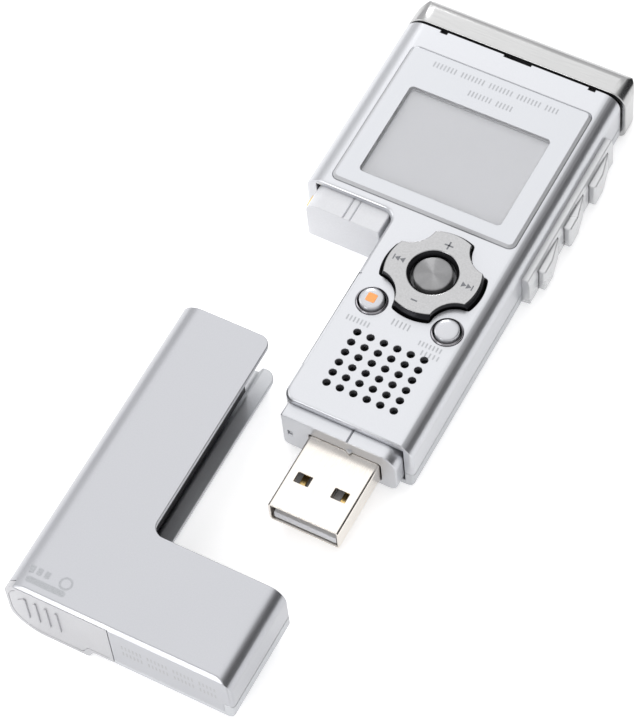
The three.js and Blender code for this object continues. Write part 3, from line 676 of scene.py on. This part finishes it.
def window_box():
    """The clear window in the lens, a little larger than the display panel."""
    x0, x1, y0, y1, _, _ = span("lcd_panel")
    return x0 - 0.1, x1 + 0.1, y0 - 0.1, y1 + 0.1


def build_lens():
    x0, x1, y0, y1, z0, z1 = span("display_lens")
    wx0, wx1, wy0, wy1 = window_box()
    slope = LENS_SLOPE
    foot = rect(x0, x1, y0, y1, 1.2)
    top = rect(x0 + slope["wide"], x1 - slope["wide"], y0 + slope["wide"], y1 - slope["wide"], 0.7)
    border = loft([(foot, z0), (foot, z1 - slope["deep"]), (top, z1)])
    cut(border, prism(rect(wx0, wx1, wy0, wy1, 0.7), z0 - 1, z1 + 1))
    paint(soften(border, 0.06, 2), PRINT_BORDER)
    # painted shade: the sloping edges turn flat grey, except the top one and those round the window
    paint_where(border, PAINTED_BEVEL_SHADE, lambda at, normal: normal.z < 0.95 and at.y < y1 - 1
                and not (wx0 - 0.2 < at.x < wx1 + 0.2 and wy0 - 0.2 < at.y))
    # painted light: the window's inner walls turn light grey, which lifts their shade
    paint_where(border, PAINTED_WINDOW_LIGHT, lambda at, normal: normal.z < 0.5 and wx0 - 0.1 < at.x < wx1 + 0.1
                and wy0 - 0.1 < at.y < wy1 + 0.1)
    window = prism(rect(wx0, wx1, wy0, wy1, 0.7), WINDOW_Z, z1 - 0.03)
    return [border, paint(soften(window, 0.03, 1), CLEAR), *legend_ticks(LENS_LEGENDS, z1)]


def legend_ticks(rows, top):
    """Short printed ticks in place of lettering."""
    ticks = []
    for x, y, length, height in rows:
        count = round(length / TICK["pitch"])
        pitch = length / count
        for k in range(count):
            if k % TICK["word"] == TICK["word"] - 1:
                continue
            left = x - length / 2 + k * pitch
            shape = rect(left, left + TICK["wide"], y - height / 2, y + height / 2, 0.08)
            ticks.append(paint(prism(shape, top - 0.02, top + 0.006), PALE_INK))
    return ticks


def build_lcd_frame():
    x0, x1, y0, y1, z0, z1 = span("lcd_frame")
    wx0, wx1, wy0, wy1 = window_box()
    plate = prism(rect(x0, x1, y0, y1, 0.6), z0, z1)
    cut(plate, box(wx0, wx1, wy0, wy1, z0 + 0.5, z1 + 1))
    return paint(soften(plate, 0.12, 2), WHITE)


def build_lcd_panel():
    x0, x1, y0, y1, z0, _ = span("lcd_panel")
    return paint(soften(box(x0, x1, y0, y1, z0, WINDOW_Z - 0.1), 0.1, 2), LCD)


# ---- keypad ----
def sign_marks(top):
    """Plus, minus and the two skip signs on the lobes of the pad."""
    x, y, at = NAV["x"], NAV["y"], 5.8
    low, high = top - 0.02, top + 0.012

    def bar(cx, cy, wide, tall):
        return prism(rect(cx - wide / 2, cx + wide / 2, cy - tall / 2, cy + tall / 2, 0.05), low, high)

    def arrow(cx, cy, way):
        back, tip = cx - 0.4 * way, cx + 0.4 * way
        return prism([Vector((back, cy - 0.5)), Vector((tip, cy)), Vector((back, cy + 0.5))], low, high)

    plus_y = y + at - 0.4
    marks = [bar(x, plus_y, 1.5, 0.26), bar(x, plus_y, 0.26, 1.5), bar(x - 0.3, y - at, 1.1, 0.26)]
    for way in (-1, 1):
        for step in (-0.45, 0.4):
            marks.append(arrow(x + way * (at + step), y, way))
        marks.append(bar(x + way * (at + 0.95), y, 0.2, 1))
    return [paint(mark, INK) for mark in marks]


def build_nav_pad():
    top, skirt, bore = NAV["top"], NAV["skirt"], NAV["bore"]
    foot = span("nav_pad")[4]
    pad = lathe([(bore, foot), (NAV["r"], foot), (NAV["r"], skirt), (NAV["top_r"], top), (NAV["rim"], top),
                 (bore, top - 0.9), (bore, foot)], NAV["x"], NAV["y"], 160)
    cut(pad, *nav_scallops(9, 13))
    # the pad's steep sides get the near-black finish: painted shade and reflection of the gap round the pad
    return [paint(soften(pad, 0.12, 3, 25), CHROME, PAINTED_PAD_SHADE), *sign_marks(top)]


def build_ok_button():
    top = OK_TOP
    button = lathe([(0, 8.6), (1.6, 8.6), (1.6, 10), (OK_R, 10), (OK_R, top - 0.3), (OK_R - 0.1, top - 0.18),
                    (OK_R - 0.3, top - 0.12), (1.4, top - 0.03), (0, top)], NAV["x"], NAV["y"], 96)
    button.data.shade_smooth()
    button.data.set_sharp_from_angle(angle=math.radians(50))
    return paint(button, BRUSHED)


def build_round_key(name):
    x = KEYS_X[name]
    top = KEY_TOP
    key = lathe([(0, 8.4), (1.2, 8.4), (1.2, 9.6), (KEY_R, 9.6), (KEY_R, top - 0.32),
                 (KEY_R - 0.08, top - 0.2), (KEY_R - 0.25, top - 0.12), (1.2, top - 0.04), (0.6, top - 0.01),
                 (0, top)], x, KEY_Y, 64)
    key.data.shade_smooth()
    key.data.set_sharp_from_angle(angle=math.radians(50))
    things = [paint(key, KEY_PAINT)]
    if name == "erase":
        dot = prism(rect(x - 0.8, x + 0.8, KEY_Y - 0.8, KEY_Y + 0.8, 0.3), top - 0.3, top + 0.02)
        things.append(paint(soften(dot, 0.05, 2), ORANGE))
    return things


def build_key_ring(name):
    x = KEYS_X[name]
    inner = KEY_R + 0.22
    ring = lathe([(inner, 9.9), (RING_R, 9.9), (RING_R, 11.12), (RING_R - 0.06, 11.24), (RING_R - 0.2, 11.3),
                  (inner + 0.12, 11.12), (inner, 10.9), (inner, 9.9)], x, KEY_Y, 72)
    ring.data.shade_smooth()
    ring.data.set_sharp_from_angle(angle=math.radians(50))
    return paint(ring, RING_CHROME)


# ---- side strip and its three keys ----
SIDE_KEYS = ("record", "stop", "play")


def build_strip():
    _, x1, y0, y1, z0, z1 = span("side_strip")
    profile = outline([(HALF_W - GAP, z0, 0.2), (x1, z0 + 0.4, 0.3), (x1, z1 - 1.5, 0.5), (x1 - 0.3, z1, 0.2),
                       (HALF_W - GAP, z1, 0)])
    strip = prism(profile, y0, y1, "y")
    for name in SIDE_KEYS:
        _, _, ky0, ky1, kz0, kz1 = span(f"{name}_key")
        cut(strip, box(HALF_W - 1, x1 + 1, ky0 - 0.2, ky1 + 0.2, kz0 - 0.2, kz1 + 0.2))
    return paint(soften(strip, 0.12, 3), TRIM)


def build_side_key(name):
    _, x1, y0, y1, z0, z1 = span(f"{name}_key")
    middle = (y0 + y1) / 2
    inner = HALF_W - 0.7
    profile = outline([(inner, y0, 0), (x1, y0, 0.45), (x1 - 0.05, middle - 0.5, 1), (x1 - 1, y1, 0.3),
                       (inner, y1, 0)])
    cover = soften(prism(profile, z0, z1), 0.22, 3)
    stem = soften(box(HALF_W - 1.7, inner + 0.1, middle - 1.5, middle + 1.5, 2.8, 4.8), 0.1, 2)
    dot = lathe([(0, x1 - 0.3), (0.55, x1 - 0.3), (0.55, x1 - 0.12), (0, x1 - 0.02)],
                middle - 1.3, (z0 + z1) / 2, 32, "x")
    return [paint(cover, TRIM), paint(stem, TRIM), paint(dot, RED if name == "record" else INK)]


# ---- hold slider and jacks ----
def build_hold_slider():
    x0, x1, y0, y1, z0, z1 = span("hold_slider")
    middle = (y0 + y1) / 2
    knob = box(x0, -HALF_W + 1.6, middle - HOLD["half"], middle + HOLD["half"], *HOLD["knob"])
    for k in range(-2, 3):
        groove = middle + k * 0.6
        cut(knob, box(x0 - 0.1, x0 + 0.2, groove - 0.13, groove + 0.13, 2, 5))
    plate = box(-HALF_W + 1.5, x1, y0, y1, z0, z1)
    return [paint(soften(knob, 0.08, 2), BLACK), paint(soften(plate, 0.1, 2), BLACK)]


def build_jack(node):
    x0, x1, y0, y1, z0, z1 = span(node)
    y, z, bore = (y0 + y1) / 2, JACK["z"], JACK["bore"]
    block = box(-HALF_W + 1.6, x1, y0, y1, z0, z1)
    cut(block, disc(y, z, bore, -HALF_W, -HALF_W + JACK["deep"], 48, "x"))

    def sleeve(inner, outer, low, high):
        return lathe([(inner, low), (outer, low), (outer, high), (inner, high), (inner, low)], y, z, 64, "x")

    barrel = sleeve(bore, 2.2, x0, -HALF_W + 2)
    lip = sleeve(1.75, 2.0, x0 - 0.05, x0 + 0.4)
    return [paint(soften(block, 0.15, 2), BLACK), paint(soften(barrel, 0.05, 2), BLACK),
            paint(soften(lip, 0.06, 2), STEEL)]


# ---- neck and plug ----
PLUG_METAL = 0.35
PLUG_ROOM = 0.15  # between the plug and the neck
NECK_LINE = {"x": 11.3, "wide": 0.12, "deep": 0.2}  # along the neck's top
NECK_HOLE = {"x0": 0.9, "x1": 1.7, "z0": 4.4, "z1": 5.6, "deep": 0.5}  # in its end face, beside the plug
LATCH_WINDOW = {"at": 3.15, "half": 1.2, "y0": 5.15, "y1": 6.95}  # in the plug, from its middle and its tip


def build_neck():
    x0, x1, y0, y1, z0, z1 = span("neck_block")
    px0, px1, _, _, pz0, pz1 = span("usb_shell")
    neck = prism(outline([(x0, z0, 1), (x1, z0, 1.5), (x1, z1, 2.8), (x0, z1, 0.4)]), y0, y1, "y")
    plug_hole = rect(px0 - PLUG_ROOM, px1 + PLUG_ROOM, pz0 - PLUG_ROOM, pz1 + PLUG_ROOM, 0.5)
    cut(neck, prism(plug_hole, y0 - 1, y1 + 1, "y"))
    line, hole = x0 + NECK_LINE["x"], NECK_HOLE
    cut(neck, box(line, line + NECK_LINE["wide"], y0 - 1, y1 + 1, z1 - NECK_LINE["deep"], z1 + 1),
        box(x0 + hole["x0"], x0 + hole["x1"], y0 - 1, y0 + hole["deep"], hole["z0"], hole["z1"]))
    middle = (px0 + px1) / 2
    latch = prism([Vector((middle - 0.5, y0 + 0.4)), Vector((middle + 1.6, y0 + 0.4)),
                   Vector((middle + 1.1, y0 - 0.5))], pz1 + PLUG_ROOM, pz1 + 0.6)
    return [paint(soften(neck, 0.18, 3), SILVER), paint(soften(latch, 0.08, 2), TRIM)]


def build_plug():
    x0, x1, y0, y1, z0, z1 = span("usb_shell")
    m = PLUG_METAL
    shell = prism(rect(x0, x1, z0, z1, 0.55), y0, y1, "y")
    cut(shell, prism(rect(x0 + m, x1 - m, z0 + m, z1 - m, 0.2), y0 - 1, y1 + 1, "y"))
    middle = (x0 + x1) / 2
    for side in (-1, 1):
        x, half = middle + side * LATCH_WINDOW["at"], LATCH_WINDOW["half"]
        window = rect(x - half, x + half, y0 + LATCH_WINDOW["y0"], y0 + LATCH_WINDOW["y1"], 0.12)
        cut(shell, prism(window, z0 - 1, z1 + 1))
    cut(shell, box(middle - 0.06, middle + 0.06, y0 - 1, y1 + 1, z0 - 0.1, z0 + 0.12))
    return paint(soften(shell, 0.09, 3), NICKEL)


def build_tongue():
    x0, x1, y0, y1, z0, z1 = span("usb_tongue")
    tongue = box(x0, x1, y0, y1, z0, z1)
    for i in range(1, 5):
        px0, px1, py0, py1, _, _ = span(f"usb_pin_{i}")
        cut(tongue, box(px0 - 0.1, px1 + 0.1, py0 - 0.1, py1 + 0.1, z1 - 0.15, z1 + 1))
    return paint(soften(tongue, 0.12, 2), WHITE)


def build_pin(node):
    x0, x1, y0, y1, z0, z1 = span(node)
    return paint(soften(box(x0, x1, y0, y1, z0, z1), 0.06, 2), GOLD)


# ---- contact block ----
CONTACT_LINES = ((5.25, 0.15), (6.5, 0.04))  # fine lines along its top: from its right side, and their depth


def build_contact_block():
    x0, x1, y0, y1, z0, z1 = span("contact_block")
    block = prism(outline([(x0, z0, 0.5), (x1, z0, 0.3), (x1, z1, 0.3), (x0, z1, 2)]), y0, y1, "y")
    for node in ("terminal_positive", "terminal_negative"):
        tx0, tx1, ty0, ty1, tz0, tz1 = span(node)
        cut(block, box(tx0 - 1, tx1 + 0.1, ty0 - 0.1, ty1 + 0.1, tz0 - 0.1, tz1 + 0.1))
    for line, deep in CONTACT_LINES:
        cut(block, box(x1 - line, x1 - line + 0.12, y0 - 1, HEAD_Y, z1 - deep, z1 + 1))
    return paint(soften(block, 0.16, 3), WHITE)


def build_terminal(node):
    x0, x1, y0, y1, z0, z1 = span(node)
    return paint(soften(box(x0, x1, y0, y1, z0, z1), 0.15, 3), GOLD)


# ---- battery cap ----
BULGE = {"depth": 2, "r": 6, "x": -4.9}
CAP_BELOW = -BULGE["depth"] - 1  # lower than all of the cap
LEG_X = -3.3
LEG_Y = 54
LEG_R = 1.8
FOOT_Y = 16.8
DOOR = {"x": -1.3, "thick": 1.2, "z": 10.35}
CAP_EDGE = 0.65  # the slope along the top of its end, which comes down to the door
END_SEAM = {"x0": -1.5, "x1": 17.6, "y1": 1.1, "z": 1}


def cap_section(inset):
    """The cap seen along it, with the bulge over the cell at its lower left."""
    return outline([
        (-HALF_W + inset, -BULGE["depth"] + inset, BULGE["r"] - inset),
        (BULGE["x"] - inset - 1, -BULGE["depth"] + inset, 0.8),
        (BULGE["x"] - inset, inset, 0.8),
        (HALF_W - inset, inset, BACK_R["right"] - inset),
        (HALF_W - inset, THICK - inset, FRONT_R["right"] - inset),
        (-HALF_W + inset, THICK - inset, FRONT_R["left"] - inset),
    ])


def cap_form(inset, far):
    """The cap's outside, or its hollow: drawn in by `inset` and reaching `far` past its open ends."""
    edge = 0 if inset else CAP_EDGE
    plan = outline([
        (-HALF_W + inset, inset, edge), (HALF_W - inset, inset, edge), (HALF_W - inset, FOOT_Y + far, 0),
        (LEG_X + far, FOOT_Y + far, 0 if far else NOTCH_R), (LEG_X + far, LEG_Y + far, 0 if far else LEG_R),
        (-HALF_W + inset, LEG_Y + far, 0),
    ])
    side = outline([
        (-1, CAP_BELOW, 0), (LEG_Y + 6, CAP_BELOW, 0), (LEG_Y + 6, THICK - inset, 0),
        (inset + edge, THICK - inset, 0), (-1, THICK - 2 * inset - edge - 1, 0),
    ])
    return keep(prism(cap_section(inset), -2, LEG_Y + 5, "y"), prism(plan, CAP_BELOW, THICK + 1),
                prism(side, -HALF_W - 1, HALF_W + 1, "x"))


def cap_levels(low, high):
    """All of the cap between two heights."""
    return box(-HALF_W - 1, HALF_W + 1, -1, LEG_Y + 6, low, high)


def end_wall():
    """The stretch of the end that belongs to the front moulding, so that its seam runs low."""
    return box(END_SEAM["x0"], END_SEAM["x1"], -1, END_SEAM["y1"], END_SEAM["z"], SEAM_Z + 1)


def cap_half(region):
    """One moulding of the cap: its wall within a region, open where the door and the cell go in."""
    half = keep(cap_form(0, 0), region)
    door_space = box(-HALF_W - 1, DOOR["x"] + SEAM, -1, DOOR["thick"] + SEAM, CAP_BELOW, DOOR["z"] + 0.05)
    mouth = keep(prism(cap_section(CAP_WALL), -2, 4, "y"), box(-HALF_W, -5, -1, 3, -BULGE["depth"], THICK))
    return cut(half, cap_form(CAP_WALL, 2), door_space, mouth)


def badge(top):
    """Plain blocks, a ring and a bar where the cap carries a printed badge."""
    low, high = top - 0.02, top + 0.004
    bar = prism(rect(-16.1, -9.4, 1.6, 2.6, 0.5), low, high)
    ring = lathe([(0.75, low), (1.1, low), (1.1, high), (0.75, high), (0.75, low)], -10.2, 3.8, 40)
    blocks = [prism(rect(x, x + 0.9, 3.2, 4.4, 0.2), low, high) for x in (-16.4, -15.1, -13.8)]
    return [paint(thing, PALE_INK) for thing in (bar, ring, *blocks)]


END_PRINT = {"rows": (7, 5), "x": 0.8, "pitch": 0.62, "count": 26, "word": 7}


def end_print():
    """Two faint rows of ticks on the end face, in place of small print."""
    ticks = []
    for z in END_PRINT["rows"]:
        for k in range(END_PRINT["count"]):
            if k % END_PRINT["word"] == END_PRINT["word"] - 1:
                continue
            x = END_PRINT["x"] + k * END_PRINT["pitch"]
            tick = prism(rect(x, x + 0.25, z - 0.55, z + 0.55, 0.08), -0.006, 0.02, "y")
            ticks.append(paint(tick, FAINT_INK))
    return ticks


def build_cap_front():
    half = cap_half(join(cap_levels(SEAM_Z + SEAM / 2, THICK + 1), end_wall()))
    return [paint(soften(half, 0.1, 2), CAP_SILVER), *badge(THICK), *end_print()]


def build_cap_rear():
    half = cap_half(cut(cap_levels(CAP_BELOW, SEAM_Z - SEAM / 2), end_wall()))
    return paint(soften(half, 0.1, 2), BACK_SILVER)


RIB = {"x": -15.55, "pitch": 1.8, "count": 4, "low": 2.4, "high": 8.2}
HOOK = {"x0": -9, "x1": -2.6, "z0": 1.4, "z1": 9.6, "reach": 0.6}  # holds the door behind the end wall
GROOVE = {"near": 0.85, "far": 0.97, "deep": 0.1, "top": 9.6}  # a fine line along the door's edge


def build_door():
    thick = DOOR["thick"]
    plan = outline([(-HALF_W, 0, CAP_EDGE), (DOOR["x"], 0, 0), (DOOR["x"], thick, 0), (-HALF_W, thick, 0)])
    form = keep(prism(cap_section(0), -1, thick + 1, "y"), prism(plan, CAP_BELOW, DOOR["z"]))
    soften(form, 0.06, 2)
    groove = cut(prism(cap_section(GROOVE["near"]), -1, GROOVE["deep"], "y"),
                 prism(cap_section(GROOVE["far"]), -2, 1, "y"))
    cut(form, keep(groove, box(-HALF_W, DOOR["x"] - 0.6, -1, 1, -BULGE["depth"], GROOVE["top"])))
    ribs = []
    for k in range(RIB["count"]):
        x = RIB["x"] + k * RIB["pitch"]
        ribs.append(soften(box(x - 0.2, x + 0.2, -0.28, 0.2, RIB["low"], RIB["high"]), 0.1, 2))
    hook = box(HOOK["x0"], HOOK["x1"], thick - 0.1, thick + HOOK["reach"], HOOK["z0"], HOOK["z1"])
    soften(hook, 0.1, 2)
    back, tip = RIB["x"] - 0.2, RIB["x"] - 1.3
    arrow = prism([Vector((back, RIB["high"])), Vector((tip, 7)), Vector((back, 6.3))], -0.12, 0.1, "y")
    return [paint(thing, DOOR_PAINT) for thing in (form, *ribs, hook, arrow)]


# ---- every piece that stands for a CAD node ----
def as_list(made):
    return made if isinstance(made, list) else [made]


BUILDERS = {
    "front_shell": build_front_shell,
    "rear_shell": build_rear_shell,
    "end_band": build_band,
    "end_gasket": build_gasket,
    "display_lens": build_lens,
    "lcd_frame": build_lcd_frame,
    "lcd_panel": build_lcd_panel,
    "nav_pad": build_nav_pad,
    "ok_button": build_ok_button,
    "side_strip": build_strip,
    "hold_slider": build_hold_slider,
    "neck_block": build_neck,
    "usb_shell": build_plug,
    "usb_tongue": build_tongue,
    "contact_block": build_contact_block,
    "cap_front_shell": build_cap_front,
    "cap_rear_shell": build_cap_rear,
    "battery_door": build_door,
}
for key_name in KEYS_X:
    BUILDERS[f"{key_name}_button"] = lambda name=key_name: build_round_key(name)
    BUILDERS[f"{key_name}_ring"] = lambda name=key_name: build_key_ring(name)
for key_name in SIDE_KEYS:
    BUILDERS[f"{key_name}_key"] = lambda name=key_name: build_side_key(name)
for jack in ("ear_jack", "mic_jack"):
    BUILDERS[jack] = lambda node=jack: build_jack(node)
for pin in range(1, 5):
    BUILDERS[f"usb_pin_{pin}"] = lambda node=f"usb_pin_{pin}": build_pin(node)
for terminal in ("terminal_positive", "terminal_negative"):
    BUILDERS[terminal] = lambda node=terminal: build_terminal(node)

for node_name, build in BUILDERS.items():
    place(node_name, *as_list(build()))

# ---- the CAD nodes that stay, each with the finish of its slot ----
SLOT_FINISH = {
    "steel_small": STEEL,
    "speaker_black": CONE,
    "board": BOARD,
    "black_plastic": BLACK,
    "white_plastic": WHITE,
    "cell_wrap": CELL_WRAP,
}
for node_name, node in frame["nodes"].items():
    if node_name not in BUILDERS:
        node.data.materials.clear()
        node.data.materials.append(SLOT_FINISH[NODE_SLOT[node_name]])

# ---- floor, light and camera ----
FLOOR_SIZE = 3.0


def make_floor():
    mesh = bpy.data.meshes.new("floor")
    half = FLOOR_SIZE / 2
    corners = [(-half, -half, 0), (half, -half, 0), (half, half, 0), (-half, half, 0)]
    mesh.from_pydata(corners, [], [(0, 1, 2, 3)])
    floor = bpy.data.objects.new("floor", mesh)
    bpy.context.scene.collection.objects.link(floor)
    white = new_material("floor_white", (0.9, 0.9, 0.905), 0.7, 0.0,
                         Emission_Color=(1, 1, 1, 1), Emission_Strength=0.45)
    floor.data.materials.append(white)


def add_area(name, at, size, power):
    """A rectangular lamp aimed at the middle of the object."""
    lamp = bpy.data.lights.new(name, "AREA")
    lamp.shape = "RECTANGLE"
    lamp.size, lamp.size_y = size
    lamp.energy = power
    holder = bpy.data.objects.new(name, lamp)
    bpy.context.scene.collection.objects.link(holder)
    holder.location = at
    holder.rotation_mode = "QUATERNION"
    holder.rotation_quaternion = (-Vector(at)).to_track_quat("-Z", "Y")


# the dark side's direction, and how far from it, in degrees, it is darkest and ends
DARK_SIDE = {"way": (0.87, 0.45, 0.22), "core": 20, "edge": 50}


def make_world():
    """A pale studio, bright overhead, with one dark side that shows in the rounded metal edges."""
    world = bpy.data.worlds.new("studio")
    bpy.context.scene.world = world
    world.use_nodes = True
    nodes, links = world.node_tree.nodes, world.node_tree.links
    where = nodes.new("ShaderNodeTexCoord")
    split = nodes.new("ShaderNodeSeparateXYZ")
    ramp = nodes.new("ShaderNodeValToRGB")
    stops = ramp.color_ramp.elements
    stops[0].color = (0.75, 0.75, 0.76, 1)
    stops[1].color = (1, 1, 1, 1)
    towards = nodes.new("ShaderNodeVectorMath")
    towards.operation = "DOT_PRODUCT"
    towards.inputs[1].default_value = Vector(DARK_SIDE["way"]).normalized()
    shade = nodes.new("ShaderNodeMapRange")
    shade.interpolation_type = "SMOOTHSTEP"
    shade.inputs["From Min"].default_value = math.cos(math.radians(DARK_SIDE["edge"]))
    shade.inputs["From Max"].default_value = math.cos(math.radians(DARK_SIDE["core"]))
    mix = nodes.new("ShaderNodeMixRGB")
    mix.inputs["Color2"].default_value = (0.03, 0.03, 0.032, 1)
    links.new(where.outputs["Generated"], split.inputs["Vector"])
    links.new(where.outputs["Generated"], towards.inputs[0])
    links.new(split.outputs["Z"], ramp.inputs["Fac"])
    links.new(towards.outputs["Value"], shade.inputs["Value"])
    links.new(shade.outputs["Result"], mix.inputs["Fac"])
    links.new(ramp.outputs["Color"], mix.inputs["Color1"])
    links.new(mix.outputs["Color"], nodes["Background"].inputs["Color"])
    nodes["Background"].inputs["Strength"].default_value = 0.95


CAMERA = {"azimuth": 34.42, "elevation": 58.25, "roll": -7.16, "aim": (-4.52, 30.85), "distance": 514.38}
LENS_MM = 164.93


def make_camera():
    azimuth, elevation, roll = (math.radians(CAMERA[key]) for key in ("azimuth", "elevation", "roll"))
    right = Vector((math.cos(azimuth), math.sin(azimuth), 0))
    back = Vector((math.sin(azimuth) * math.cos(elevation), -math.cos(azimuth) * math.cos(elevation),
                   math.sin(elevation)))
    up = back.cross(right)
    turned_right = right * math.cos(roll) + up * math.sin(roll)
    turned_up = up * math.cos(roll) - right * math.sin(roll)
    data = bpy.data.cameras.new("camera")
    data.lens = LENS_MM
    data.sensor_width = 36
    data.clip_start = 0.01
    camera = bpy.data.objects.new("camera", data)
    bpy.context.scene.collection.objects.link(camera)
    target = (RECORDER_AT + Vector((*CAMERA["aim"], 0))) * MM
    turn = Matrix((turned_right, turned_up, back)).transposed().to_4x4()
    camera.matrix_world = Matrix.Translation(target + back * CAMERA["distance"] * MM) @ turn
    bpy.context.scene.camera = camera


make_floor()
make_world()
add_area("overhead", (-0.15, 0.25, 0.7), (0.9, 0.9), 1.6)
add_area("front_glint", (-0.24, -0.68, 0.35), (0.3, 0.22), 1)
add_area("far_glint", (-0.41, 0.66, 0.45), (0.16, 0.16), 0.9)
add_area("left_fill", (-0.7, -0.1, 0.35), (0.5, 0.5), 1)
make_camera()
bpy.context.scene.view_settings.view_transform = "Standard"
